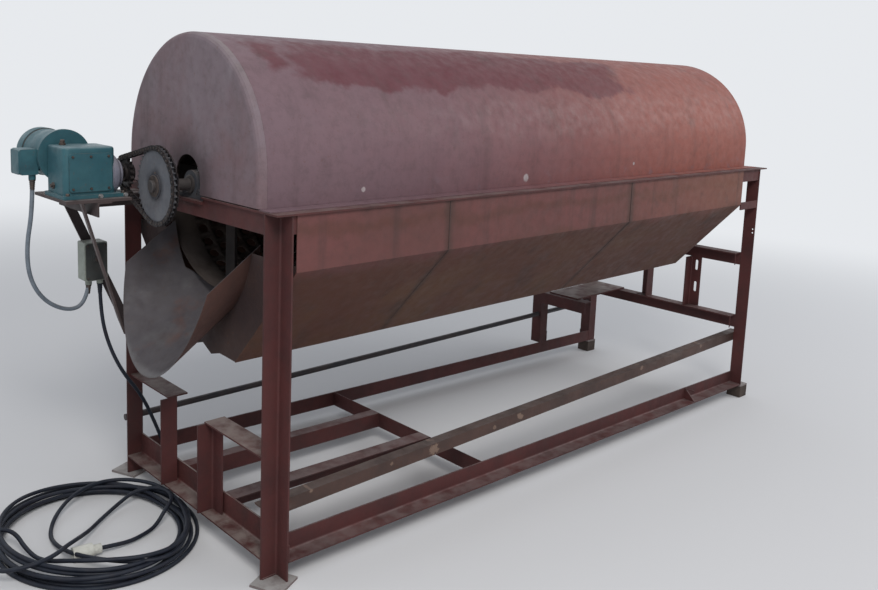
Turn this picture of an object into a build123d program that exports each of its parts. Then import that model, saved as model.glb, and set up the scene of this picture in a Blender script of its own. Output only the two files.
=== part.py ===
from build123d import *
import math
import os

# Trommel screen on an angle-steel frame, in millimetres.
# The machine is laid out along its ledge: X from the left end, Y from its middle line, Z up from the feet.
# It is then tilted about Y, with the feed end on packing blocks, while its low rails stay level.

# Overall sizes
frame_length = 3200.0
frame_width = 1100.0
ledge_height = 1200.0
machine_tilt = 1.68
seat_gap = 0.3

# Rolled angle that the frame is made of
angle_leg = 65.0
angle_wall = 6.0
angle_root = 7.0
leg_setback = 7.0
leg_bolt_radius = 4.5
leg_bolt_edge = 12.0
leg_bolt_drop = 336.0
leg_bolt_spacing = 20.0

# Feet
foot_plate_thickness = 8.0
foot_plate_side = 112.0
foot_plate_turn = 25.0
packing_height = 62.0
packing_side = 76.0

# Top frame
web_setback = 11.3
web_depth = 65.0
end_web_setback = 8.0
pocket_width = 200.0
seat_thickness = 10.0
seat_drop = 17.0
seat_depth = 75.0

# Rails between the legs
low_rail_clearance = 71.0
left_rail_clearance = 75.0
left_rail_depth = 85.0
mid_rail_top = 288.0
mid_rail_leg = 75.0
rear_pipe_radius = 13.0
rear_pipe_height = 234.0
rear_pipe_setback = 50.0
conveyor_front_setback = 450.0
conveyor_back_setback = 385.0
cross_member_x = 1050.0
rail_gusset_setback = 575.0
rail_gusset_thickness = 6.0

# Loading bay at the left end
front_post_height = 410.0
back_post_height = 418.0
bay_ledge_width = 80.0
bay_ledge_left = 15.0

# Right end
lower_beam_top = 372.0
lower_beam_depth = 72.0
upper_beam_top = 726.0
upper_beam_depth = 70.0
slotted_post_near = 298.0
slot_width = 17.0
slot_length = 60.0
slot_edge = 28.0
slot_drop = 47.0
slot_spacing = 127.0
small_post_near = 600.0
shelf_post_setback = 575.0
shelf_arm_reach = 310.0
shelf_thickness = 8.0
shelf_near = 790.0
shelf_depth = 200.0
shelf_setback = 550.0

# Hood
hood_sheet = 3.0
hood_radius = 445.0
hood_inset_left = 5.0
hood_inset_right = 36.0
hood_centre_rise = 102.0
hood_rim_radius = 18.0
hood_rim_steps = 3
hood_end_depth = 28.0
hood_lip_width = 60.0
notch_width = 170.0
notch_rise = 135.0
feed_width = 420.0
feed_sill_rise = 160.0
feed_height = 250.0
feed_corner = 30.0

# Trough
trough_sheet = 3.0
trough_setback = 8.0
trough_left = 78.0
trough_right_setback = 250.0
trough_band_depth = 185.0
trough_depth = 564.0
trough_slot = 390.0
trough_seams = [740.0, 1895.0]
seam_gap = 0.8
torn_edge = [(-134.0, 5.0), (-92.0, 6.0), (-35.0, -11.0), (24.0, 17.0), (90.0, -4.0)]
tie_width = 40.0
tie_thickness = 6.0
tie_drop = 30.0

# Chute at the left end
chute_half_width = 291.0
chute_depth = 228.0
chute_sheet = 3.0
chute_slope = 35.3
chute_lip_x = -84.5
chute_lip_drop = 282.6
chute_lip_lean = 12.8
chute_mouth_x = 172.0
chute_drum_gap = 8.0

# Drum
drum_radius = 380.0
drum_sheet = 4.0
drum_left = 120.0
drum_right_setback = 115.0
perforated_length = 600.0
panel_gap = 0.5
drum_clearance = 16.0
hoop_width = 40.0
hoop_thickness = 8.0
hoop_inset = 30.0
spider_inset = 60.0
spider_hub_radius = 45.0
spider_hub_length = 90.0
spoke_width = 60.0
spoke_thickness = 10.0
shaft_radius = 20.0
shaft_left = -132.0
shaft_right_setback = 8.0
screen_hole_radius = 20.0
screen_hole_rows = 3
screen_hole_step = 120.0

# Bearings
bearing_centre = 49.0
bearing_base_length = 184.0
bearing_base_height = 15.0
bearing_width = 42.0
bearing_x = 37.5
running_clearance = 0.05

# Chain drive
chain_pitch = 19.05
chain_links = 56
big_teeth = 42
small_teeth = 18
roller_radius = 5.95
seat_clearance = 0.1
tooth_rise = 4.5
tooth_tip = 3.6
tooth_width = 11.8
plate_gap = 0.75
link_plate = 2.3
link_height = 17.0
roller_clearance = 1.0
drive_angle = 5.1
sprocket_x = -108.0
big_hub_radius = 42.0
big_hub_length = 40.0
pinion_hub_radius = 32.0
pinion_hub_length = 16.0
output_shaft_radius = 15.0
output_shaft_depth = 60.0

# Drive platform
platform_left = -362.0
platform_right = -136.0
platform_near = 127.0
platform_far = 410.0
platform_drop = 20.0
platform_thickness = 10.0
beam_leg = 50.0
beam_wall = 5.0
cross_beam_x = -256.0
tail_beam_y = 345.0
brace_width = 35.0
brace_thickness = 8.0
brace_foot_height = 545.0
brace_foot_x = 38.0
strut_top = (-309.0, 162.0)
strut_foot_height = 560.0
strut_foot_x = 8.0

# Gearbox, motor and electrical boxes
gearbox_left = -350.0
gearbox_right = -150.0
gearbox_near = 172.0
gearbox_far = 330.0
gearbox_height = 172.0
gearbox_corner = 22.0
gearbox_edge = 8.0
gearbox_foot = 13.0
foot_margin = 8.0
output_boss_radius = 48.0
output_boss_length = 14.0
cover_inset = 20.0
cover_thickness = 6.0
motor_x = -285.0
motor_rise = 130.0
motor_radius = 82.5
motor_flange_radius = 92.0
motor_flange_thickness = 14.0
motor_length = 165.0
fan_cover_length = 62.0
fan_cover_radius = 86.0
fan_cover_edge = 14.0
terminal_size = (60.0, 80.0, 88.0)
terminal_near = 352.0
terminal_rise = 66.0
terminal_neck = 26.0
gland_radius = 12.0
gland_length = 18.0
switch_size = (86.0, 64.0, 145.0)
switch_left = -191.0
switch_drop = 346.0

# Conduit and supply lead, as route points in the level frame
conduit_diameter = 15.0
conduit_route = [
    (-418.3, 372.0, 1215.7), (-417.0, 373.0, 1110.0), (-434.0, 381.0, 980.0), (-420.0, 390.0, 862.0),
    (-362.0, 401.0, 772.0), (-270.0, 415.0, 724.0), (-203.0, 430.0, 742.0), (-189.0, 437.4, 810.2),
]
lead_diameter = 14.0
lead_route = [
    (-146.1, 437.4, 811.5), (-144.0, 431.0, 700.0), (-118.0, 421.0, 578.0), (-66.0, 408.0, 460.0),
    (14.0, 397.0, 352.0), (72.0, 383.0, 216.0), (112.0, 356.0, 92.0), (112.0, 308.0, 14.0),
    (52.0, 241.0, 8.0),
]
tail_route = [
    (-330.7, -30.0, 24.0), (-290.0, -35.0, 22.0), (-230.0, -30.0, 14.0), (-170.0, -12.0, 12.0),
    (-112.0, 14.0, 14.0),
]
coil_centre = (-300.0, 110.0)
coil_outer = (385.0, 400.0)
coil_inner = (205.0, 215.0)
coil_height = 52.0
connector_radius = 24.0
connector_length = 64.0
connector_neck_radius = 16.0
connector_neck_length = 28.0

# Worked out from the sizes above
half_width = frame_width / 2
hood_centre_height = ledge_height + hood_centre_rise
notch_top = ledge_height + notch_rise
trough_right = frame_length - trough_right_setback
trough_crease = ledge_height - trough_band_depth
trough_bottom = ledge_height - trough_depth
chute_radius = (chute_half_width ** 2 + chute_depth ** 2) / (2 * chute_depth)
drum_right = frame_length - drum_right_setback
shaft_right = frame_length - shaft_right_setback
platform_top = ledge_height - platform_drop
gearbox_top = platform_top + gearbox_height
motor_height = platform_top + motor_rise
terminal_height = platform_top + terminal_rise
switch_bottom = platform_top - switch_drop
rail_gusset_x = frame_length - rail_gusset_setback
shelf_post_x = frame_length - shelf_post_setback
shelf_left = frame_length - shelf_setback
heel_y = half_width - leg_setback - angle_leg
left_heel = angle_leg
right_heel = frame_length - angle_leg
ledge_underside = ledge_height - angle_wall
seat_top = ledge_height - seat_drop
drum_axis_height = seat_top + bearing_centre
trough_wall_y = half_width - trough_setback
web_y = half_width - web_setback
slope_radians = math.radians(chute_slope)
tilt_radians = math.radians(machine_tilt)
big_radius = chain_pitch / (2 * math.sin(math.pi / big_teeth))
small_radius = chain_pitch / (2 * math.sin(math.pi / small_teeth))
spare_links = 2 * chain_links - big_teeth - small_teeth
teeth_apart = big_teeth - small_teeth
root_term = math.sqrt(spare_links ** 2 - 8 * (teeth_apart / math.pi) ** 2)
centre_distance = chain_pitch / 8 * (spare_links + root_term)
pinion_y = centre_distance * math.cos(math.radians(drive_angle))
pinion_height = drum_axis_height + centre_distance * math.sin(math.radians(drive_angle))
tilt = Rot(0, -machine_tilt, 0)
far = 4 * frame_length


def block(x, y, z):
    """Box between two values along each axis."""
    spans = (x, y, z)
    middle = [(low + high) / 2 for low, high in spans]
    size = [high - low for low, high in spans]
    return Pos(*middle) * Box(*size)


def rod(start, end, radius):
    """Round bar from start to end."""
    along = Vector(*end) - Vector(*start)
    section = Plane(origin=start, z_dir=along) * Circle(radius)
    return extrude(section, amount=along.length, dir=along.normalized())


def angle_bar(start, end, side_a, side_b, widths=(angle_leg, angle_leg), wall=angle_wall):
    """Rolled angle whose heel runs from start to end, with its legs towards side_a and side_b."""
    wide, tall = widths
    outline = Polyline((0, 0), (wide, 0), (wide, wall), (wall, wall), (wall, tall), (0, tall), close=True)
    face = make_face(outline)
    root = face.vertices().sort_by_distance(Vector(wall, wall, 0))[0]
    face = fillet(root, angle_root)
    normal = Vector(*side_a).cross(Vector(*side_b))
    along = Vector(*end) - Vector(*start)
    placed = Plane(origin=start, x_dir=side_a, z_dir=normal) * face
    return extrude(placed, amount=along.length, dir=along.normalized())


def flat_bar(start, end, across, width, thickness):
    """Flat bar centred on the line from start to end, its thickness along across."""
    along = Vector(*end) - Vector(*start)
    section = Plane(origin=start, x_dir=across, z_dir=along) * Rectangle(thickness, width)
    return extrude(section, amount=along.length, dir=along.normalized())


def profile_along_x(face, start, end):
    """Solid from a face drawn in (Y, Z), run along X from start to end."""
    placed = Plane(origin=(start, 0, 0), x_dir=(0, 1, 0), z_dir=(1, 0, 0)) * face
    return extrude(placed, amount=end - start, dir=(1, 0, 0))


def other_side(shape):
    """The same piece on the other side of the machine's middle line."""
    return mirror(shape, about=Plane.XZ)


def above(height):
    """Everything above a level height."""
    return block((-far, far), (-far, far), (height, far))


def foot_plate_top(outward_x):
    """Level height of a foot plate's top: on the ground at the left, on its block at the right."""
    return foot_plate_thickness if outward_x < 0 else packing_height + seat_gap + foot_plate_thickness


# Frame

def leg(heel_x, outward_x, outward_y):
    """Corner leg: heel inwards, cut level at its foot."""
    start = (heel_x, outward_y * heel_y, -2 * angle_leg)
    end = (heel_x, outward_y * heel_y, ledge_underside - seat_gap)
    bar = tilt * angle_bar(start, end, (outward_x, 0, 0), (0, outward_y, 0))
    return bar & above(foot_plate_top(outward_x) + seat_gap)


def front_leg_right():
    """Front right leg, with two bolt holes near the edge of its end flange."""
    bar = leg(right_heel, 1, -1)
    x = (right_heel - angle_wall, right_heel + 2 * angle_wall)
    y = -heel_y - angle_leg + leg_bolt_edge
    for number in range(2):
        z = ledge_height - leg_bolt_drop - number * leg_bolt_spacing
        bar = bar - tilt * rod((x[0], y, z), (x[1], y, z), leg_bolt_radius)
    return bar


def rear_leg(heel_x, outward_x):
    """Back leg, drilled for the rear pipe."""
    hole = tilt * pipe(rear_pipe_radius + seat_gap, -far, far)
    return leg(heel_x, outward_x, 1) - hole


def foot_middle(heel_x, outward_x):
    """Level X of the middle of a leg's foot."""
    return heel_x * math.cos(tilt_radians) + outward_x * angle_leg / 2


def foot_plates():
    """Small plates under the four legs: loose and askew at the left, square on their blocks at the right."""
    plates = []
    for heel_x, outward_x, side_length, turn in (
        (left_heel, -1, foot_plate_side, foot_plate_turn),
        (right_heel, 1, packing_side, 0),
    ):
        x = foot_middle(heel_x, outward_x)
        y = heel_y + angle_leg / 2
        z = foot_plate_top(outward_x) - foot_plate_thickness / 2
        plate = Box(side_length, side_length, foot_plate_thickness)
        for side in (-1, 1):
            plates.append(Pos(x, side * y, z) * Rot(0, 0, turn) * plate)
    return plates


def packing_blocks():
    """Blocks that lift the right legs."""
    x = foot_middle(right_heel, 1)
    half = packing_side / 2
    middle = heel_y + angle_leg / 2
    near = block((x - half, x + half), (-middle - half, -middle + half), (0, packing_height))
    return [near, other_side(near)]


def top_side_rails():
    """Ledges along the front and back, with their webs set in behind the trough sheet."""
    ledge = block((0, frame_length), (-half_width, -half_width + angle_leg), (ledge_underside, ledge_height))
    web_x = (left_heel + seat_gap, right_heel - seat_gap)
    web = block(web_x, (-web_y, -web_y + angle_wall), (ledge_height - web_depth, ledge_underside))
    front = tilt * (ledge + web)
    return [front, other_side(front)]


def top_end_rail():
    """Left end rail, with a pocket for the bearing seat."""
    inner = half_width - angle_leg - seat_gap
    ledge = block((0, angle_leg), (-inner, inner), (ledge_underside, ledge_height))
    reach = heel_y - seat_gap
    web_x = (end_web_setback, end_web_setback + angle_wall)
    web = block(web_x, (-reach, reach), (ledge_height - web_depth - angle_wall, ledge_underside))
    half = pocket_width / 2
    pocket = block((-angle_leg, 2 * angle_leg), (-half, half), (seat_top - seat_thickness, far))
    return ledge + web - pocket


def opposite_end(shape):
    """The same piece at the other end of the machine."""
    return mirror(shape, about=Plane.YZ.offset(frame_length / 2))


def bearing_seat():
    """Plate in the left pocket, under the bearing."""
    half = pocket_width / 2 - seat_gap
    return block((0, seat_depth), (-half, half), (seat_top - seat_thickness + seat_gap, seat_top))


def at_both_ends(shape):
    """A left-end piece and its mirror at the right end, tilted with the machine."""
    return [tilt * shape, tilt * opposite_end(shape)]


def between_legs(shape):
    """A level rail, cut back to the tilted faces of the left and right legs."""
    span = (left_heel + seat_gap, right_heel - seat_gap)
    return shape & (tilt * block(span, (-far, far), (-far, far)))


def lower_side_rails():
    """Level angles low along the front and back, webs in line with the legs' heels."""
    start = (0, -heel_y, low_rail_clearance)
    end = (frame_length, -heel_y, low_rail_clearance)
    front = between_legs(angle_bar(start, end, (0, -1, 0), (0, 0, 1)))
    return [front, other_side(front)]


def lower_left_rail():
    """Angle across the left end, with its bottom flange outwards."""
    reach = heel_y - seat_gap
    start = (left_heel, -reach, left_rail_clearance)
    end = (left_heel, reach, left_rail_clearance)
    return tilt * angle_bar(start, end, (-1, 0, 0), (0, 0, 1), (angle_leg, left_rail_depth))


def mid_front_rail():
    """Angle behind the front legs, parallel to the ledge."""
    y = -heel_y + seat_gap
    start = (angle_leg / 8, y, mid_rail_top)
    end = (frame_length - angle_leg / 8, y, mid_rail_top)
    return tilt * angle_bar(start, end, (0, 1, 0), (0, 0, -1), (mid_rail_leg, mid_rail_leg))


def pipe(radius, start, end):
    """Round bar along the back, through both back legs."""
    y = half_width - rear_pipe_setback
    return rod((start, y, rear_pipe_height), (end, y, rear_pipe_height), radius)


def conveyor_rails():
    """Two level angles that carry a conveyor under the left end."""
    top = low_rail_clearance + angle_leg
    rails = []
    for setback, inward in ((conveyor_front_setback, 1), (conveyor_back_setback, -1)):
        y = inward * (setback - half_width)
        start = (0, y, top)
        end = (cross_member_x - seat_gap, y, top)
        rails.append(between_legs(angle_bar(start, end, (0, inward, 0), (0, 0, -1))))
    return rails


def lower_cross_member():
    """Level angle across the frame at the conveyor rails' right ends."""
    reach = heel_y - seat_gap
    top = low_rail_clearance + angle_leg
    start = (cross_member_x, -reach, top)
    end = (cross_member_x, reach, top)
    return angle_bar(start, end, (1, 0, 0), (0, 0, -1))


def rail_gusset():
    """Triangular gusset in the front lower rail, clipped round the rail's root."""
    web = -heel_y - angle_wall - seat_gap
    flange = low_rail_clearance + angle_wall + seat_gap
    tip = -heel_y - angle_leg
    top = low_rail_clearance + angle_leg
    face = make_face(Polyline(
        (web, top), (web, flange + angle_root), (web - angle_root, flange), (tip, flange), close=True
    ))
    return profile_along_x(face, rail_gusset_x, rail_gusset_x + rail_gusset_thickness)


def bay_posts():
    """Short posts that stand on the left rail's flange, clear of its root."""
    x = left_heel - angle_wall - angle_root - seat_gap
    low = left_rail_clearance + angle_wall + seat_gap
    posts = []
    for setback, outward, top in (
        (conveyor_front_setback, -1, front_post_height),
        (conveyor_back_setback, 1, back_post_height),
    ):
        y = outward * (half_width - setback)
        start = (x, y, low)
        end = (x, y, top - angle_wall - seat_gap)
        posts.append(tilt * angle_bar(start, end, (-1, 0, 0), (0, outward, 0)))
    return posts


def bay_ledges():
    """Flat ledges from the short posts to the left legs."""
    x = (bay_ledge_left, bay_ledge_left + bay_ledge_width)
    reach = heel_y - seat_gap
    front_y = (-reach, conveyor_front_setback - half_width)
    back_y = (half_width - conveyor_back_setback, reach)
    front = block(x, front_y, (front_post_height - angle_wall, front_post_height))
    back = block(x, back_y, (back_post_height - angle_wall, back_post_height))
    return [tilt * front, tilt * back]


def end_beam(top, depth):
    """Angle across the right end, its top flange inwards."""
    reach = heel_y - seat_gap
    heel = right_heel + angle_wall
    start = (heel, -reach, top)
    end = (heel, reach, top)
    return tilt * angle_bar(start, end, (-1, 0, 0), (0, 0, -1), (angle_leg, depth))


def end_posts():
    """Slotted post and small post of rolled angle, between the two end beams."""
    low = lower_beam_top + seat_gap
    high = upper_beam_top - upper_beam_depth - seat_gap
    x = right_heel + angle_wall
    near = slotted_post_near - half_width
    heel = near + angle_leg
    slotted = angle_bar((x, heel, low), (x, heel, high), (-1, 0, 0), (0, -1, 0))
    for number in range(2):
        slotted = slotted - slot(near + slot_edge, high - slot_drop - number * slot_spacing)
    y = small_post_near - half_width
    small = angle_bar((x, y, low), (x, y, high), (-1, 0, 0), (0, 1, 0))
    return [tilt * slotted, tilt * small]


def slot(y, centre):
    """Upright slot with round ends, to be cut through the right end's plane."""
    half = (slot_length - slot_width) / 2
    x = (right_heel - angle_wall, right_heel + 2 * angle_wall)
    cut = block(x, (y - slot_width / 2, y + slot_width / 2), (centre - half, centre + half))
    for z in (centre - half, centre + half):
        cut = cut + rod((x[0], y, z), (x[1], y, z), slot_width / 2)
    return cut


def shelf_post():
    """Post on the back lower rail that carries the shelf arm, drilled for the rear pipe."""
    start = (shelf_post_x, heel_y, 0)
    end = (shelf_post_x, heel_y, lower_beam_top)
    bar = tilt * angle_bar(start, end, (1, 0, 0), (0, 1, 0))
    hole = tilt * pipe(rear_pipe_radius + seat_gap, 0, far)
    return (bar & above(low_rail_clearance + angle_leg + seat_gap)) - hole


def shelf_arm():
    """Angle from the shelf post in under the shelf."""
    start = (shelf_post_x, heel_y - seat_gap, lower_beam_top)
    end = (shelf_post_x, heel_y - shelf_arm_reach, lower_beam_top)
    return tilt * angle_bar(start, end, (1, 0, 0), (0, 0, -1))


def shelf_plate():
    """Shelf from the arm to the lower end beam."""
    near = shelf_near - half_width
    z = (lower_beam_top + seat_gap, lower_beam_top + seat_gap + shelf_thickness)
    return tilt * block((shelf_left, right_heel), (near, near + shelf_depth), z)


# Trough and chute

def trough_line(offset, top):
    """Points of the front side in (Y, Z), at a distance inside its outer face: top, crease and slot edge."""
    run = trough_wall_y - trough_slot / 2
    slope = math.atan2(trough_crease - trough_bottom, run)
    crease_rise = offset * math.tan(math.pi / 4 - slope / 2)
    wall = -trough_wall_y + offset
    slot_edge = (-trough_slot / 2 + offset * math.sin(slope), trough_bottom + offset * math.cos(slope))
    return [(wall, top), (wall, trough_crease + crease_rise), slot_edge]


def trough_profile():
    """Folded front sheet in (Y, Z): an upright band, then a panel that slopes in to the slot."""
    top = ledge_underside - seat_gap
    outline = trough_line(0, top) + trough_line(trough_sheet, top)[::-1]
    return make_face(Polyline(*outline, close=True))


def trough_side():
    """Front side of the trough, in three sheets with open seams between them."""
    edges = [trough_left, *trough_seams, trough_right]
    sheets = []
    for start, end in zip(edges, edges[1:]):
        sheets.append(tilt * profile_along_x(trough_profile(), start + seam_gap / 2, end - seam_gap / 2))
    return sheets


def trough_inside(top, lower_edge):
    """Face in (Y, Z) that fills the trough from its lower edge up to top."""
    front = trough_line(trough_sheet + seat_gap, top)
    back = [(-y, z) for y, z in front[::-1]]
    return make_face(Polyline(*front, *lower_edge, *back, close=True))


def chute_edge_at(x):
    """Height of the chute's side edges."""
    return ledge_height - chute_lip_drop + (x - chute_lip_x) * math.tan(slope_radians)


def chute_bar(radius):
    """Sloping round bar on the chute's axis, which lies above its side edges."""
    rise = (chute_radius - chute_depth) / math.cos(slope_radians)
    low_x = chute_lip_x - 2 * chute_radius
    high_x = chute_mouth_x + 2 * chute_radius
    return rod((low_x, 0, chute_edge_at(low_x) + rise), (high_x, 0, chute_edge_at(high_x) + rise), radius)


def drum_room():
    """Round bar that the still pieces beside the drum are cut clear of."""
    radius = drum_radius + hoop_thickness + drum_clearance
    return rod((-far, 0, drum_axis_height), (far, 0, drum_axis_height), radius)


def chute():
    """Rolled sheet that carries the oversize out of the left end, trimmed round the drum."""
    depth = 2 * chute_radius
    lip_z = chute_edge_at(chute_lip_x)
    lean = depth * math.tan(math.radians(chute_lip_lean))
    outline = make_face(Polyline(
        (chute_lip_x, lip_z), (chute_mouth_x, chute_edge_at(chute_mouth_x)), (chute_mouth_x, lip_z - depth),
        (chute_lip_x - lean, lip_z - depth), close=True,
    ))
    side_view = extrude(Plane.XZ * outline, amount=frame_width, both=True)
    rolled = (chute_bar(chute_radius) - chute_bar(chute_radius - chute_sheet)) & side_view
    beside_drum = block((drum_left - chute_drum_gap, far), (-far, far), (-far, far))
    return tilt * (rolled - (drum_room() & beside_drum))


def trough_end_left():
    """Torn left end plate, cut round the chute."""
    x = trough_left + seam_gap
    lower_edge = [(y, trough_bottom + rise) for y, rise in torn_edge]
    plate = profile_along_x(trough_inside(chute_edge_at(x), lower_edge), x, x + trough_sheet)
    return tilt * (plate - chute_bar(chute_radius + seat_gap))


def trough_end_right():
    """Right end plate, cut round the drum."""
    face = trough_inside(ledge_height - web_depth - seat_gap, [])
    x = trough_right - seam_gap - trough_sheet
    return tilt * (profile_along_x(face, x, x + trough_sheet) - drum_room())


def trough_ties():
    """Flat bars from the trough's right end to the right legs."""
    y = -trough_wall_y
    x = (trough_right, right_heel - seat_gap)
    low = trough_crease - tie_drop
    front = tilt * block(x, (y, y + tie_thickness), (low, low + tie_width))
    return [front, other_side(front)]


# Hood

def hood_outline(radius, low):
    """Half-round outline in (Y, Z) with straight skirts down to low."""
    z = hood_centre_height
    arc = ThreePointArc((radius, z), (0, z + radius), (-radius, z))
    sides = Polyline((-radius, z), (-radius, low), (radius, low), (radius, z))
    return make_face([arc.edge(), *sides.edges()])


def hood_foot():
    """Height of the hood's lower edge, on the lips that lie on the ledges."""
    return ledge_height + hood_sheet + 2 * seat_gap


def hood_shell():
    """Half-round sheet between the two ends."""
    low = hood_foot()
    face = hood_outline(hood_radius, low) - hood_outline(hood_radius - hood_sheet, low - hood_radius)
    start = hood_inset_left + hood_end_depth + seat_gap
    end = frame_length - hood_inset_right - hood_end_depth - seat_gap
    return tilt * profile_along_x(face, start, end)


def rolled_rim(radius, start, end, rim):
    """Solid hood end whose edge rolls round from the flat face at start to the full radius."""
    low = ledge_height - hood_radius
    solid = profile_along_x(hood_outline(radius, low), start + rim, end)
    for step in range(hood_rim_steps):
        inner_angle = math.pi / 2 * step / hood_rim_steps
        outer_angle = math.pi / 2 * (step + 1) / hood_rim_steps
        depth = rim * (math.cos(inner_angle) - math.cos(outer_angle))
        growth = rim * (math.sin(outer_angle) - math.sin(inner_angle))
        full = radius - rim * (1 - math.sin(outer_angle))
        x = start + rim * (1 - math.cos(outer_angle))
        placed = Plane(origin=(x, 0, 0), x_dir=(0, 1, 0), z_dir=(1, 0, 0)) * hood_outline(full, low)
        taper = math.degrees(math.atan2(growth, depth))
        solid = solid + extrude(placed, amount=depth, dir=(-1, 0, 0), taper=taper)
    return solid


def hood_end(inset):
    """Left end: a flat plate whose rim rolls round to meet the shell, with an arched notch for the shaft."""
    low = hood_foot()
    end = inset + hood_end_depth
    outer = rolled_rim(hood_radius, inset, end, hood_rim_radius)
    inner = rolled_rim(hood_radius - hood_sheet, inset + hood_sheet, end + 1, hood_rim_radius - hood_sheet)
    shell = (outer - inner) & block((-far, far), (-far, far), (low, far))
    half = notch_width / 2
    notch = block((inset - 1, end + 1), (-half, half), (low - 1, notch_top - half))
    notch = notch + rod((inset - 1, 0, notch_top - half), (end + 1, 0, notch_top - half), half)
    return shell - notch


def hood_end_right():
    """Right end, the same with a feed opening above the shaft."""
    end = opposite_end(hood_end(hood_inset_right))
    x = frame_length - hood_inset_right
    half = feed_width / 2
    sill = ledge_height + feed_sill_rise
    opening = block((x - hood_rim_radius, x + 1), (-half, half), (sill, sill + feed_height))
    opening = fillet(opening.edges().filter_by(Axis.X), feed_corner)
    return tilt * (end - opening)


def hood_lips():
    """Flat strips on the ledges that the hood stands on."""
    x = (hood_inset_left, frame_length - hood_inset_right)
    y = (-hood_radius - hood_lip_width, -hood_radius + hood_sheet)
    front = tilt * block(x, y, (ledge_height + seat_gap, ledge_height + seat_gap + hood_sheet))
    return [front, other_side(front)]


# Drum

def tube_along_x(outer, inner, start, end):
    """Ring or tube on the drum's axis."""
    z = drum_axis_height
    return rod((start, 0, z), (end, 0, z), outer) - rod((start - 1, 0, z), (end + 1, 0, z), inner)


def screen_panel(start, end):
    """Rolled quarter of the barrel, centred on its +Y side."""
    barrel = tube_along_x(drum_radius, drum_radius - drum_sheet, start, end)
    reach = 2 * drum_radius
    tip = panel_gap / math.sqrt(2)
    quarter = make_face(Polyline((tip, 0), (reach + tip, reach), (reach + tip, -reach), close=True))
    return barrel & profile_along_x(Pos(0, drum_axis_height) * quarter, start - 1, end + 1)


def around_drum(shape):
    """Four copies of a piece, a quarter turn apart about the drum's axis."""
    axis = Axis((0, 0, drum_axis_height), (1, 0, 0))
    return [tilt * shape.rotate(axis, 90 * quarter) for quarter in range(4)]


def perforated_panels():
    """Four panels beside the discharge end, with the stated ones of the screen's many holes."""
    panel = screen_panel(drum_left, drum_left + perforated_length - panel_gap)
    z = drum_axis_height
    for row in range(screen_hole_rows):
        x = drum_left + (row + 2) * screen_hole_step
        panel = panel - rod((x, 0, z), (x, 2 * drum_radius, z), screen_hole_radius)
    return around_drum(panel)


def drum_screen():
    """The other four panels of the barrel, whose holes are left to its finish."""
    return around_drum(screen_panel(drum_left + perforated_length, drum_right))


def drum_hoops():
    """Stiffening hoops round both ends of the barrel."""
    hoops = []
    for start in (drum_left + hoop_inset, drum_right - hoop_inset - hoop_width):
        hoop = tube_along_x(drum_radius + hoop_thickness, drum_radius + seat_gap, start, start + hoop_width)
        hoops.append(tilt * hoop)
    return hoops


def drum_spider(middle_x):
    """Hub with four spokes that carries the barrel on the shaft."""
    half = spider_hub_length / 2
    z = drum_axis_height
    spider = rod((middle_x - half, 0, z), (middle_x + half, 0, z), spider_hub_radius)
    reach = drum_radius - drum_sheet - seat_gap
    spoke_x = (middle_x - spoke_thickness / 2, middle_x + spoke_thickness / 2)
    spider = spider + block(spoke_x, (-reach, reach), (z - spoke_width / 2, z + spoke_width / 2))
    spider = spider + block(spoke_x, (-spoke_width / 2, spoke_width / 2), (z - reach, z + reach))
    spider = spider & rod((middle_x - half, 0, z), (middle_x + half, 0, z), reach)
    return spider - rod((middle_x - half - 1, 0, z), (middle_x + half + 1, 0, z), shaft_radius + seat_gap)


def drum_spiders():
    """Spiders at both ends and in the middle of the barrel."""
    places = (drum_left + spider_inset, (drum_left + drum_right) / 2, drum_right - spider_inset)
    return [tilt * drum_spider(x) for x in places]


def drum_shaft():
    """Shaft from the sprocket through both bearings."""
    z = drum_axis_height
    bar = rod((shaft_left, 0, z), (shaft_right, 0, z), shaft_radius)
    ends = bar.edges().filter_by(GeomType.CIRCLE)
    return tilt * chamfer(ends, 2)


# Bearings

def bearing():
    """Pillow block: a foot with a round housing on it, bored for the shaft."""
    low = seat_top + seat_gap
    foot_top = seat_top + bearing_base_height
    half = bearing_base_length / 2
    radius = bearing_centre - angle_wall / 6
    z = drum_axis_height
    x = (bearing_x - bearing_width / 2, bearing_x + bearing_width / 2)
    foot = block(x, (-half, half), (low, foot_top))
    foot = fillet(foot.edges().filter_by(Axis.Z), bearing_width / 3)
    shoulders = make_face(Polyline(
        (-half * 0.72, foot_top), (-radius * 0.9, z - radius * 0.2), (radius * 0.9, z - radius * 0.2),
        (half * 0.72, foot_top), (half * 0.72, low), (-half * 0.72, low), close=True,
    ))
    body = foot + profile_along_x(shoulders, x[0] + 4, x[1] - 4)
    body = body + rod((x[0] + 1, 0, z), (x[1] - 1, 0, z), radius)
    return body - rod((x[0] - 1, 0, z), (x[1] + 1, 0, z), shaft_radius + running_clearance)


# Chain drive

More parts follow.
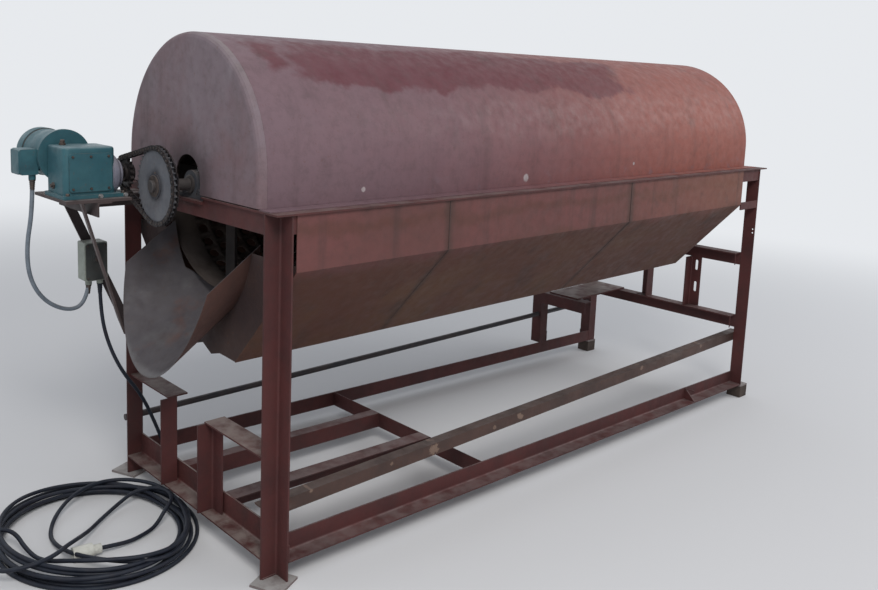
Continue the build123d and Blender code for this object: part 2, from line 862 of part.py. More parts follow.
def sprocket_profile(teeth, first_angle):
    """Sprocket outline: a round seat for each roller, with a straight-flanked tooth between seats."""
    radius = chain_pitch / (2 * math.sin(math.pi / teeth))
    seat = roller_radius + seat_clearance
    tip_radius = radius + tooth_rise
    step = 2 * math.pi / teeth
    tip_half = tooth_tip / 2 / tip_radius
    seat_half = math.radians(60)
    edges = []
    previous = None
    first = None
    for number in range(teeth + 1):
        angle = first_angle + number * step
        out = Vector(math.cos(angle), math.sin(angle))
        side = Vector(-math.sin(angle), math.cos(angle))
        centre = out * radius
        start = centre - (out * math.cos(seat_half) + side * math.sin(seat_half)) * seat
        end = centre - (out * math.cos(seat_half) - side * math.sin(seat_half)) * seat
        if previous is not None:
            middle = angle - step / 2
            tip_a = Vector(math.cos(middle - tip_half), math.sin(middle - tip_half)) * tip_radius
            tip_b = Vector(math.cos(middle + tip_half), math.sin(middle + tip_half)) * tip_radius
            goal = first if number == teeth else start
            edges += [Line(previous, tip_a), Line(tip_a, tip_b), Line(tip_b, goal)]
        if number < teeth:
            edges.append(ThreePointArc(start, centre - out * seat, end))
        first = first or start
        previous = end
    return make_face([edge.edge() for edge in edges])


def toothed_disc(teeth, y, z, first_angle):
    """Sprocket disc in the chain's plane."""
    face = Pos(y, z) * sprocket_profile(teeth, first_angle)
    return profile_along_x(face, sprocket_x - tooth_width / 2, sprocket_x + tooth_width / 2)


def drum_sprocket():
    """Big plate sprocket with its hub, on the drum's shaft."""
    z = drum_axis_height
    disc = toothed_disc(big_teeth, 0, z, math.pi + math.radians(drive_angle))
    half = big_hub_length / 2
    hub = rod((sprocket_x - half / 2, 0, z), (sprocket_x + 1.5 * half, 0, z), big_hub_radius)
    bore = rod((sprocket_x - far, 0, z), (sprocket_x + far, 0, z), shaft_radius + seat_gap)
    return tilt * (disc + hub - bore)


def drive_pinion():
    """Small sprocket on the gearbox's output shaft."""
    y, z = pinion_y, pinion_height
    disc = toothed_disc(small_teeth, y, z, math.radians(drive_angle))
    left = sprocket_x - tooth_width / 2 - pinion_hub_length / 2
    right = sprocket_x + tooth_width / 2 + pinion_hub_length
    hub = rod((left, y, z), (right, y, z), pinion_hub_radius)
    depth = gearbox_right - output_shaft_depth
    shaft = rod((depth, y, z), (right, y, z), output_shaft_radius)
    return tilt * (disc + hub + shaft)


def clear_of_teeth(y, z):
    """Whether a roller stays clear of both sprockets, measured from the drum's axis along the drive."""
    reach = tooth_rise + roller_radius + roller_clearance
    from_big = math.hypot(y, z)
    from_small = math.hypot(y - centre_distance, z)
    return from_big > big_radius + reach and from_small > small_radius + reach


def chain_route():
    """Place of each pin, evenly along the loop round both pitch circles, and whether its roller is clear."""
    wrap = math.asin((big_radius - small_radius) / centre_distance)
    straight = centre_distance * math.cos(wrap)
    big_half = big_radius * (math.pi / 2 + wrap)
    small_half = small_radius * (math.pi / 2 - wrap)
    half = big_half + straight + small_half
    pins = []
    for number in range(chain_links):
        along = 2 * half * number / chain_links
        mirrored = along > half
        s = 2 * half - along if mirrored else along
        if s <= big_half:
            angle = math.pi - s / big_radius
            point = (big_radius * math.cos(angle), big_radius * math.sin(angle))
        elif s <= big_half + straight:
            angle = math.pi / 2 - wrap
            run = s - big_half
            x = big_radius * math.cos(angle) + run * math.sin(angle)
            point = (x, big_radius * math.sin(angle) - run * math.cos(angle))
        else:
            angle = math.pi / 2 - wrap - (s - big_half - straight) / small_radius
            point = (centre_distance + small_radius * math.cos(angle), small_radius * math.sin(angle))
        y, z = (point[0], -point[1]) if mirrored else point
        turn = math.radians(drive_angle)
        pins.append((
            y * math.cos(turn) - z * math.sin(turn),
            drum_axis_height + y * math.sin(turn) + z * math.cos(turn),
            clear_of_teeth(y, z),
        ))
    return pins


def link_face(first, second):
    """Side plate between two pins: a long plate with clipped corners."""
    start = Vector(first[0], first[1])
    run = Vector(second[0], second[1]) - start
    along = run.normalized()
    side = Vector(-along.Y, along.X)
    half = link_height / 2
    clip = half * 0.45
    outline = (
        (-half, -half + clip), (-clip, -half), (run.length + clip, -half), (run.length + half, -half + clip),
        (run.length + half, half - clip), (run.length + clip, half), (-clip, half), (-half, half - clip),
    )
    points = [start + along * a + side * b for a, b in outline]
    return make_face(Polyline(*points, close=True))


def drive_chain():
    """Roller chain as one fixed loop: plates beside the teeth, with rollers where no tooth can reach."""
    pins = chain_route()
    inner = tooth_width / 2 + plate_gap
    middle = inner + link_plate
    pieces = []
    for number, pin in enumerate(pins):
        face = link_face(pin, pins[(number + 1) % chain_links])
        low = inner if number % 2 else middle
        for side in (-1, 1):
            x = sorted((sprocket_x + side * low, sprocket_x + side * (low + link_plate)))
            pieces.append(profile_along_x(face, *x))
        if pin[2]:
            roller = Pos(pin[0], pin[1]) * RegularPolygon(roller_radius, 8)
            pieces.append(profile_along_x(roller, sprocket_x - inner, sprocket_x + inner))
    return tilt * pieces[0].fuse(*pieces[1:])


# Drive platform

def motor_platform():
    """Plate that the gearbox stands on."""
    z = (platform_top - platform_thickness, platform_top)
    return tilt * block((platform_left, platform_right), (platform_near, platform_far), z)


def platform_beams():
    """Beam across under the plate to the brace, and two beams from it back to the end rail."""
    top = platform_top - platform_thickness - seat_gap
    cross_far = heel_y - brace_thickness - 2 * seat_gap
    start_x = cross_beam_x + beam_leg + seat_gap
    end_x = end_web_setback - seat_gap
    runs = [((cross_beam_x, platform_near, top), (cross_beam_x, cross_far, top), (1, 0, 0))]
    for y in (tail_beam_y, platform_far):
        runs.append(((start_x, y, top), (end_x, y, top), (0, -1, 0)))
    widths = (beam_leg, beam_leg)
    return [tilt * angle_bar(start, end, flat, (0, 0, -1), widths, beam_wall) for start, end, flat in runs]


def platform_braces():
    """Brace from the cross beam's end to the left back leg, and a strut from the plate to that brace."""
    y = heel_y - seat_gap - brace_thickness / 2
    top = (cross_beam_x + beam_leg / 2, y, platform_top - platform_thickness - beam_leg / 2)
    brace = flat_bar(top, (brace_foot_x, y, brace_foot_height), (0, 1, 0), brace_width, brace_thickness)
    plate_under = platform_top - platform_thickness - seat_gap
    front = heel_y - brace_thickness - 2 * seat_gap
    foot = (strut_foot_x, front + brace_width, strut_foot_height)
    strut = flat_bar((*strut_top, plate_under + brace_width), foot, (1, 0, 0), brace_width, brace_thickness)
    strut = strut & block((-far, far), (-far, front), (-far, plate_under))
    return [tilt * brace, tilt * strut]


# Gearbox, motor and electrical boxes

def gearbox():
    """Right-angle gearbox: rounded housing on a foot, side cover, output boss and bore for its shaft."""
    low = platform_top + seat_gap
    y = (gearbox_near, gearbox_far)
    housing = block((gearbox_left, gearbox_right), y, (low, gearbox_top))
    housing = fillet(housing.edges().filter_by(Axis.Z), gearbox_corner)
    housing = chamfer(housing.faces().sort_by(Axis.Z)[-1].edges(), gearbox_edge)
    foot_x = (gearbox_left - foot_margin, gearbox_right + foot_margin)
    foot_y = (gearbox_near - 2 * foot_margin, gearbox_far)
    foot = block(foot_x, foot_y, (low, low + gearbox_foot))
    foot = fillet(foot.edges().filter_by(Axis.Z), foot_margin)
    cover_x = (gearbox_left + cover_inset, gearbox_right - 2 * cover_inset)
    cover_y = (gearbox_near - cover_thickness, gearbox_near + 1)
    cover = block(cover_x, cover_y, (low + gearbox_foot + cover_inset / 2, gearbox_top - cover_inset))
    cover = fillet(cover.edges().filter_by(Axis.Y), cover_inset / 2)
    spot = (pinion_y, pinion_height)
    boss_x = (gearbox_right - cover_inset, gearbox_right + output_boss_length)
    boss = rod((boss_x[0], *spot), (boss_x[1], *spot), output_boss_radius)
    bore_start = gearbox_right - output_shaft_depth - 1
    bore = rod((bore_start, *spot), (far, *spot), output_shaft_radius + running_clearance)
    return tilt * (housing + foot + cover + boss - bore)


def motor():
    """Flange motor behind the gearbox, with a ring flange, plain frame and bevelled fan cover."""
    def disc(start, end, radius):
        return rod((motor_x, start, motor_height), (motor_x, end, motor_height), radius)
    y = gearbox_far + seat_gap
    flange = disc(y, y + motor_flange_thickness, motor_flange_radius)
    frame_end = y + motor_flange_thickness + motor_length
    frame = disc(y, frame_end, motor_radius)
    cover = disc(frame_end, frame_end + fan_cover_length, fan_cover_radius)
    rim = cover.edges().filter_by(GeomType.CIRCLE).sort_by(Axis.Y)[-1]
    return tilt * (flange + frame + chamfer(rim, fan_cover_edge))


def gland(x, y, top):
    """Cable gland that points down from a box."""
    return rod((x, y, top), (x, y, top - gland_length), gland_radius)


def terminal_box():
    """Terminal box on the motor's left side, with its gland below."""
    wide, deep, tall = terminal_size
    right = motor_x - motor_radius
    box_y = (terminal_near, terminal_near + deep)
    box = block((right - wide, right), box_y, (terminal_height, terminal_height + tall))
    box = fillet(box.edges().filter_by(Axis.Y), 6)
    neck_y = (terminal_near + terminal_neck / 2, terminal_near + deep - terminal_neck / 2)
    neck_z = (terminal_height + terminal_neck / 2, terminal_height + tall - terminal_neck / 2)
    neck = block((right - terminal_neck, right + terminal_neck), neck_y, neck_z)
    room = rod((motor_x, 0, motor_height), (motor_x, frame_width, motor_height), motor_radius + seat_gap)
    return tilt * (box + (neck - room) + gland(*conduit_top()[:2], terminal_height))


def conduit_top():
    """Where the conduit leaves the terminal box's gland."""
    wide, deep, tall = terminal_size
    x = motor_x - motor_radius - wide / 4
    return x, terminal_near + deep / 4, terminal_height - gland_length


def switch_box():
    """Switch box on the brace, with glands for the conduit and the supply lead."""
    wide, deep, tall = switch_size
    back = heel_y - brace_thickness - 2 * seat_gap
    body_z = (switch_bottom, switch_bottom + tall)
    body = block((switch_left, switch_left + wide), (back - deep, back), body_z)
    body = fillet(body.edges().filter_by(Axis.Y), 6)
    for share in (0.3, 0.8):
        body = body + gland(switch_left + share * wide, back - deep / 2, switch_bottom)
    return tilt * body


# Cords

def cord_tube(points, diameter):
    """Round cord along straight runs that large tangent arcs join."""
    points = [Vector(*point) for point in points]
    radii = []
    for before, here, after in zip(points, points[1:], points[2:]):
        turn = math.radians((here - before).get_angle(after - here))
        shorter = min((here - before).length, (after - here).length)
        radii.append(0.45 * shorter / math.tan(turn / 2))
    print("arc radii", [round(radius) for radius in radii])
    path = FilletPolyline(*points, radius=radii)
    section = Plane(origin=points[0], z_dir=points[1] - points[0]) * Circle(diameter / 2)
    tube = sweep(section, path=path)
    print("volume", round(tube.volume), "of", round(math.pi * diameter ** 2 / 4 * path.length))
    return tube


def lead_coil():
    """Outer shape of the loose coil on the ground."""
    ring = Ellipse(*coil_outer) - Ellipse(*coil_inner)
    return Pos(*coil_centre, 0) * extrude(ring, amount=coil_height)


def lead_connector():
    """Round connector on the lead's end, lying on the ground inside the coil."""
    mouth = Vector(*tail_route[0])
    away = (mouth - Vector(*tail_route[1])).normalized()
    away = Vector(away.X, away.Y, 0).normalized()
    mouth = mouth + away * seat_gap
    shoulder = mouth + away * connector_neck_length
    neck = rod(mouth, shoulder, connector_neck_radius)
    body = rod(shoulder, shoulder + away * connector_length, connector_radius)
    return neck + body


# All pieces by name

def build():
    """Every piece of the machine, by name, in the level frame."""
    trough_front = trough_side()
    panel_back, panel_top, panel_front, panel_bottom = perforated_panels()
    pieces = {
        "leg_front_left": leg(left_heel, -1, -1),
        "leg_front_right": front_leg_right(),
        "leg_back_left": rear_leg(left_heel, -1),
        "leg_back_right": rear_leg(right_heel, 1),
        "foot_plates": foot_plates(),
        "packing_blocks": packing_blocks(),
        "top_side_rails": top_side_rails(),
        "top_end_rails": at_both_ends(top_end_rail()),
        "bearing_seats": at_both_ends(bearing_seat()),
        "bearings": at_both_ends(bearing()),
        "lower_side_rails": lower_side_rails(),
        "lower_left_rail": lower_left_rail(),
        "mid_front_rail": mid_front_rail(),
        "rear_pipe": tilt * pipe(rear_pipe_radius, 0, frame_length),
        "conveyor_rails": conveyor_rails(),
        "lower_cross_member": lower_cross_member(),
        "rail_gusset": rail_gusset(),
        "bay_posts": bay_posts(),
        "bay_ledges": bay_ledges(),
        "end_beam_lower": end_beam(lower_beam_top, lower_beam_depth),
        "end_beam_upper": end_beam(upper_beam_top, upper_beam_depth),
        "end_posts": end_posts(),
        "shelf_post": shelf_post(),
        "shelf_arm": shelf_arm(),
        "shelf_plate": shelf_plate(),
        "trough_front": trough_front,
        "trough_back": [other_side(sheet) for sheet in trough_front],
        "trough_end_left": trough_end_left(),
        "trough_end_right": trough_end_right(),
        "trough_ties": trough_ties(),
        "chute": chute(),
        "hood_shell": hood_shell(),
        "hood_end_left": tilt * hood_end(hood_inset_left),
        "hood_end_right": hood_end_right(),
        "hood_lips": hood_lips(),
        "screen_panel_front": panel_front,
        "screen_panel_back": panel_back,
        "screen_panel_top": panel_top,
        "screen_panel_bottom": panel_bottom,
        "drum_screen": drum_screen(),
        "drum_hoops": drum_hoops(),
        "drum_spiders": drum_spiders(),
        "drum_shaft": drum_shaft(),
        "drum_sprocket": drum_sprocket(),
        "drive_pinion": drive_pinion(),
        "drive_chain": drive_chain(),
        "motor_platform": motor_platform(),
        "platform_beams": platform_beams(),
        "platform_braces": platform_braces(),
        "gearbox": gearbox(),
        "motor": motor(),
        "terminal_box": terminal_box(),
        "switch_box": switch_box(),
    }
    return pieces


def build_cords():
    """The free cords and what is on them, by name, in the level frame."""
    return {
        "conduit": cord_tube(conduit_route, conduit_diameter),
        "supply_lead": cord_tube(lead_route, lead_diameter),
        "lead_coil": lead_coil(),
        "lead_tail": cord_tube(tail_route, lead_diameter),
        "lead_connector": lead_connector(),
    }


def solids_of(shape):
    """The solids of one piece or of a list of pieces."""
    if isinstance(shape, list):
        return [solid for piece in shape for solid in piece.solids()]
    return list(shape.solids())


pieces = build()
everything = Compound(children=[solid for shape in pieces.values() for solid in solids_of(shape)])
whole = everything.bounding_box()
to_origin = Pos(-whole.center().X, -whole.center().Y, 0)
print("box", whole.min, whole.max)
pieces.update(build_cords())
os.makedirs("parts", exist_ok=True)
for name, shape in pieces.items():
    solids = [to_origin * solid for solid in solids_of(shape)]
    export_step(Compound(children=solids) if len(solids) > 1 else solids[0], f"parts/{name}.step")
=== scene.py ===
# %% [markdown]
# # Dressing a trommel screen
# A trommel is a turning drum full of holes: what is fed into its high end rolls along it, fine stuff falls
# through the holes and the rest leaves at the low end. This machine comes from a CAD model with every part
# in its real place and size, in metres. The script gives each part its finish, lays the two cables and adds
# what the CAD model leaves out, such as bolts, welds, chain pins and the holes of the drum. X runs from the
# discharge end to the feed end, Y from the front to the back, and Z is up.

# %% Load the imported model
import math
import random

import bmesh
import bpy
from mathutils import Matrix, Vector


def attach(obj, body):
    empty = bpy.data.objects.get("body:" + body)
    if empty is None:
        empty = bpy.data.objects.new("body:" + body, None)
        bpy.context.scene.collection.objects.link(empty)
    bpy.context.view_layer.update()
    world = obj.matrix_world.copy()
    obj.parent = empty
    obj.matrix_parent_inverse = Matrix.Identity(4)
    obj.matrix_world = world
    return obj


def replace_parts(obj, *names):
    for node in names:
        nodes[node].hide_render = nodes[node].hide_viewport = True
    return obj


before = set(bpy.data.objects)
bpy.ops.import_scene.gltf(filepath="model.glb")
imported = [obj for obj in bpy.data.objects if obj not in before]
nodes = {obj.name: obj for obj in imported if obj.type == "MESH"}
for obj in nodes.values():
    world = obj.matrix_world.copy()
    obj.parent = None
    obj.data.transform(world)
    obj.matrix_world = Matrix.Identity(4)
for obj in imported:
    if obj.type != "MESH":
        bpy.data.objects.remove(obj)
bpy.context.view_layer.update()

# %% [markdown]
# ## The machine's own directions
# The machine stands 1.68 degrees out of level, with its feed end up on packing blocks.
# A detail is easier to place along the machine's own rails, so one function turns a place on the machine,
# in millimetres, into a point of the scene, in metres. The origin lies in the middle of the footprint.

# %% Places on the tilted machine
MACHINE_TILT = math.radians(1.68)
ORIGIN_SHIFT = Vector((-1368.95, 0.0, 0.0))
tilt_turn = Matrix.Rotation(-MACHINE_TILT, 4, "Y")


def place(x, y, z):
    """Scene point of a place on the tilted machine: x from its left end, y from its middle line, z up."""
    return (tilt_turn @ Vector((x, y, z)) + ORIGIN_SHIFT) / 1000


def level_place(x, y, z):
    """Scene point of a place on the ground, which isn't tilted."""
    return (Vector((x, y, z)) + ORIGIN_SHIFT) / 1000


def at_level(x, height):
    """How high a place lies along the machine's own z, when it is this high above the ground."""
    return (height - x * math.sin(MACHINE_TILT)) / math.cos(MACHINE_TILT)


print("left front corner of the ledge", [round(v, 3) for v in place(0, -550, 1200)])

# %% [markdown]
# ## Camera
# The photograph was taken at eye height from off the discharge end, with a slightly wide lens.
# The place, the turn and the lens come from a camera model fitted to the corners of the machine.
# The picture is cropped off centre, which the two lens shifts repeat.

# %% Camera
camera = bpy.data.objects.new("camera", bpy.data.cameras.new("camera"))
bpy.context.scene.collection.objects.link(camera)
bpy.context.scene.camera = camera
camera.location = (-2.83655, -2.6240, 1.5676)
camera.rotation_euler = [math.radians(v) for v in (83.080, -3.157, -42.196)]
camera.data.lens = 35.04
camera.data.shift_x = 0.0483
camera.data.shift_y = -0.1078
camera.data.clip_start = 0.05
camera.data.clip_end = 100
print("camera height", round(camera.location.z, 3))

# %% [markdown]
# ## Cables
# A grey conduit hangs from the motor's terminal box to the switch box on the brace.
# A black supply lead drops from the switch box to the ground and lies there in a loose coil, with a pale
# connector on its end. Each is one smooth curve: a NURBS spline whose control points follow the route.
# The cable's radius is given at the points and the bevel depth is one, so that Blender also counts the right
# thickness when it works out the curve's box.

# %% A function that makes a cable from its control points


def cable(name, points, diameter):
    """Round cable along a quadratic NURBS spline with these control points."""
    data = bpy.data.curves.new(name, "CURVE")
    data.dimensions = "3D"
    data.bevel_depth = 1.0
    data.bevel_resolution = 4
    data.resolution_u = 8
    spline = data.splines.new("NURBS")
    spline.points.add(len(points) - 1)
    for target, point in zip(spline.points, points):
        target.co = (*point, 1)
        target.radius = diameter / 2
    spline.order_u = 3
    spline.use_endpoint_u = True
    piece = bpy.data.objects.new(name, data)
    bpy.context.scene.collection.objects.link(piece)
    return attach(piece, "root")


def line_length(piece):
    """Length of a cable's own line in metres."""
    line = piece.data.copy()
    line.bevel_depth = 0
    probe = bpy.data.objects.new("probe", line)
    mesh = bpy.data.meshes.new_from_object(probe)
    ends = [mesh.vertices[i].co for edge in mesh.edges for i in edge.vertices]
    total = sum((a - b).length for a, b in zip(ends[::2], ends[1::2]))
    bpy.data.objects.remove(probe)
    bpy.data.curves.remove(line)
    bpy.data.meshes.remove(mesh)
    return total


# %% Conduit
CONDUIT_DIAMETER = 0.015
conduit_route = [
    (-418.3, 372.0, 1215.7), (-417.0, 373.0, 1110.0), (-434.0, 381.0, 980.0), (-420.0, 390.0, 862.0),
    (-362.0, 401.0, 772.0), (-270.0, 415.0, 724.0), (-203.0, 430.0, 742.0), (-189.0, 437.4, 810.2),
]
conduit = cable("motor_conduit", [level_place(*point) for point in conduit_route], CONDUIT_DIAMETER)
conduit_length = line_length(conduit)
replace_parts(conduit, "conduit")
print("conduit", round(conduit_length, 3), "m")

# %% [markdown]
# The lead lies in eight loose turns of different sizes that fan out towards the machine. Six are rough
# ovals, so a loop makes them. The last two wander: one cuts inside the others, and the other doubles back
# at the far left, crosses the whole coil and curls round to the connector, so their points are listed one by
# one.
# Where a turn crosses an earlier one it has to lie on top of it. The heights are worked out turn by turn,
# as if the lead were laid down from the machine outwards, and then smoothed into long low humps.

# %% Supply lead: its turns seen from above
LEAD_DIAMETER = 0.014
POINTS_PER_TURN = 16
drop_route = [
    (-146.1, 437.4, 811.5), (-144.0, 431.0, 700.0), (-118.0, 421.0, 578.0), (-66.0, 408.0, 460.0),
    (14.0, 397.0, 352.0), (72.0, 383.0, 216.0), (112.0, 356.0, 92.0), (112.0, 308.0, 14.0),
    (52.0, 241.0, 8.0),
]
# Middle, half width, half depth, then how far the oval is pulled out of shape and in which direction
coil_turns = [
    (-292, 96, 336, 372, 0.03, 0.4), (-300, 120, 312, 352, -0.04, 1.1), (-286, 88, 300, 326, 0.06, 2.0),
    (-312, 112, 338, 360, 0.02, 2.9), (-292, 84, 282, 298, -0.05, 0.2), (-304, 108, 322, 318, 0.05, 1.6),
    (-290, 100, 290, 352, 0.02, 2.4),
]
cutting_turn = [
    (-20, 20), (-50, -90), (-112, -190), (-200, -246), (-300, -205), (-382, -120), (-428, -20), (-438, 95),
    (-420, 190), (-368, 275), (-285, 345), (-185, 385), (-90, 365), (-22, 290), (8, 190), (4, 80),
]
crossing_turn = [
    (-25, -40), (-78, -150), (-160, -222), (-265, -222), (-370, -170), (-458, -98), (-520, -5),
    (-534, 85), (-541, 172), (-583, 215), (-644, 215), (-687, 170), (-688, 80), (-652, -30), (-575, -76),
    (-500, -62), (-440, -22), (-385, 30), (-320, 95), (-245, 168), (-165, 215), (-90, 238), (-24, 214),
    (4, 145), (-18, 74), (-62, 34),
]
print("turns", len(coil_turns) + 1, "points", (len(coil_turns) - 1) * POINTS_PER_TURN)

# %% Supply lead: laid turn on turn


def turn_points(start_angle):
    """Places of the ovals' points in millimetres on the ground, each turn easing into the next."""
    points = []
    for number in range((len(coil_turns) - 1) * POINTS_PER_TURN):
        share = number / POINTS_PER_TURN
        first = int(share)
        mix = share - first
        oval = [a + (b - a) * mix for a, b in zip(coil_turns[first], coil_turns[first + 1])]
        x, y, wide, deep, pull, lean = oval
        angle = start_angle - 2 * math.pi * share
        reach = 1 + pull * math.cos(2 * angle + lean)
        points.append((x + wide * reach * math.cos(angle), y + deep * reach * math.sin(angle)))
    return points


def dense(points, steps):
    """Points along the smooth line that a quadratic spline draws through these control points."""
    line = []
    for before, here, after in zip(points, points[1:], points[2:]):
        for step in range(steps):
            t = step / steps
            a, b, c = (1 - t) ** 2 / 2, 0.5 + t - t * t, t * t / 2
            line.append(tuple(a * p + b * q + c * r for p, q, r in zip(before, here, after)))
    return line


def laid_heights(points, steps=6, gap=1.12):
    """Height of each control point when the line is laid over its own earlier turns."""
    diameter = LEAD_DIAMETER * 1000
    line = dense(points, steps)
    heights = []
    skip = 3 * steps
    for number, (x, y) in enumerate(line):
        height = diameter / 2
        for other in range(0, number - skip):
            apart = math.hypot(x - line[other][0], y - line[other][1])
            if apart < diameter * gap:
                height = max(height, heights[other] + math.sqrt((diameter * gap) ** 2 - apart ** 2))
        heights.append(height)
    spread = 2 * steps
    raised = [max(heights[max(0, i - spread):i + spread + 1]) for i in range(len(heights))]
    smooth = [
        sum(raised[max(0, i - steps):i + steps + 1]) / len(raised[max(0, i - steps):i + steps + 1])
        for i in range(len(raised))
    ]
    return [smooth[min(max(0, (i - 1) * steps), len(smooth) - 1)] for i in range(len(points))]


coil_plan = turn_points(math.radians(8)) + cutting_turn + crossing_turn
coil_heights = laid_heights(coil_plan)
coil_route = [(x, y, z) for (x, y), z in zip(coil_plan, coil_heights)]
print("highest turn", round(max(coil_heights), 1), "mm")

# %% Supply lead: one spline from the switch box to the connector
tail_route = [
    (-112.0, 14.0, 14.0), (-170.0, -12.0, 12.0), (-230.0, -30.0, 14.0), (-290.0, -35.0, 22.0),
    (-330.7, -30.0, 24.0),
]
lead_route = [*drop_route, *coil_route, *tail_route]
lead = cable("supply_cable", [level_place(*point) for point in lead_route], LEAD_DIAMETER)
lead_length = line_length(lead)
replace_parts(lead, "supply_lead", "lead_coil", "lead_tail")
print("supply lead", round(lead_length, 2), "m")

# %% [markdown]
# ## Finishes
# Nothing on this machine is clean: paint has chalked, sheets carry dust on what faces up, and corners are
# rubbed down to dark steel. One function builds such a finish from layers of noise, and each surface then
# gets its own colours and amounts. The noise is read at the part's own place, so it never slides or repeats.

# %% A helper that adds one shader node and links it


def add(tree, kind, links=None, **settings):
    """Adds a shader node. Links holds what goes into its sockets: a value, or another node's socket."""
    node = tree.nodes.new(kind)
    for key, value in settings.items():
        setattr(node, key, value)
    for key, value in (links or {}).items():
        socket = node.inputs[key]
        if isinstance(value, bpy.types.NodeSocket):
            tree.links.new(value, socket)
        else:
            socket.default_value = value
    return node


def noise(tree, where, scale, detail=4.0, stretch=(1, 1, 1), roughness=0.6):
    """Noise value between 0 and 1 at a place, stretched along one axis for streaks or rolling marks."""
    mapped = add(tree, "ShaderNodeMapping", {"Vector": where, "Scale": stretch}).outputs[0]
    links = {"Vector": mapped, "Scale": scale, "Detail": detail, "Roughness": roughness}
    return add(tree, "ShaderNodeTexNoise", links).outputs["Fac"]


def band(tree, value, low, high):
    """Turns a value into a mask that goes from 0 at low to 1 at high."""
    links = {"Value": value, "From Min": low, "From Max": high}
    return add(tree, "ShaderNodeMapRange", links, interpolation_type="SMOOTHSTEP").outputs[0]


def sum_up(tree, operation, a, b, c=0.0):
    """Result of a math node."""
    return add(tree, "ShaderNodeMath", {0: a, 1: b, 2: c}, operation=operation).outputs[0]


def times(tree, a, b):
    """Product of two masks."""
    return sum_up(tree, "MULTIPLY", a, b)


def between(tree, value, low, high, soft):
    """Mask that is 1 where a value lies between low and high, with soft ends."""
    rise = band(tree, value, low - soft, low + soft)
    return times(tree, rise, band(tree, value, high + soft, high - soft))


def distance(tree, a, b, a_middle, b_middle):
    """Distance in a plane from a spot, whose two coordinates are a_middle and b_middle."""
    across = sum_up(tree, "SUBTRACT", a, a_middle)
    up = sum_up(tree, "SUBTRACT", b, b_middle)
    return sum_up(tree, "SQRT", sum_up(tree, "ADD", times(tree, across, across), times(tree, up, up)), 0.0)


def layer(tree, under, mask, colour):
    """Lays a colour over another one where the mask is 1."""
    mixed = tree.nodes.new("ShaderNodeMix")
    mixed.data_type = "RGBA"
    for socket, value in ((mixed.inputs[0], mask), (mixed.inputs[6], under), (mixed.inputs[7], colour)):
        if isinstance(value, bpy.types.NodeSocket):
            tree.links.new(value, socket)
        elif isinstance(value, (int, float)):
            socket.default_value = value
        else:
            socket.default_value = (*value, 1)
    return mixed.outputs[2]


def tint(tree, under, mask, amount, colour):
    """Lays a colour over another one where the mask is 1, as strongly as the amount says."""
    return layer(tree, under, times(tree, mask, amount), colour)


def patches(tree, where, scale, detail, low, high):
    """Mask with ragged patches: 0 where the noise is under low, and 1 where it is over high."""
    return band(tree, noise(tree, where, scale, detail), low, high)


# %% [markdown]
# Some marks have a fixed place, such as a darker patch of paint on the hood. They are drawn along the
# machine's own directions, so the shader turns the point that it looks at back out of the tilt.

# %% The machine's directions inside a shader
back_turn = tilt_turn.inverted()
back_shift = back_turn @ (-ORIGIN_SHIFT / 1000)


def machine_axes(tree, where):
    """The x, y and z of the machine at the shaded point, in metres, as three sockets."""
    links = {"Vector": where, "Location": back_shift, "Rotation": back_turn.to_euler()}
    turned = add(tree, "ShaderNodeMapping", links).outputs[0]
    return add(tree, "ShaderNodeSeparateXYZ", {0: turned}).outputs


# %% The layered finish
RUST = (0.10, 0.040, 0.020)
DUST = (0.27, 0.235, 0.22)
GRIME = (0.04, 0.028, 0.026)
BARE = (0.06, 0.040, 0.034)
SHEEN = 0.22


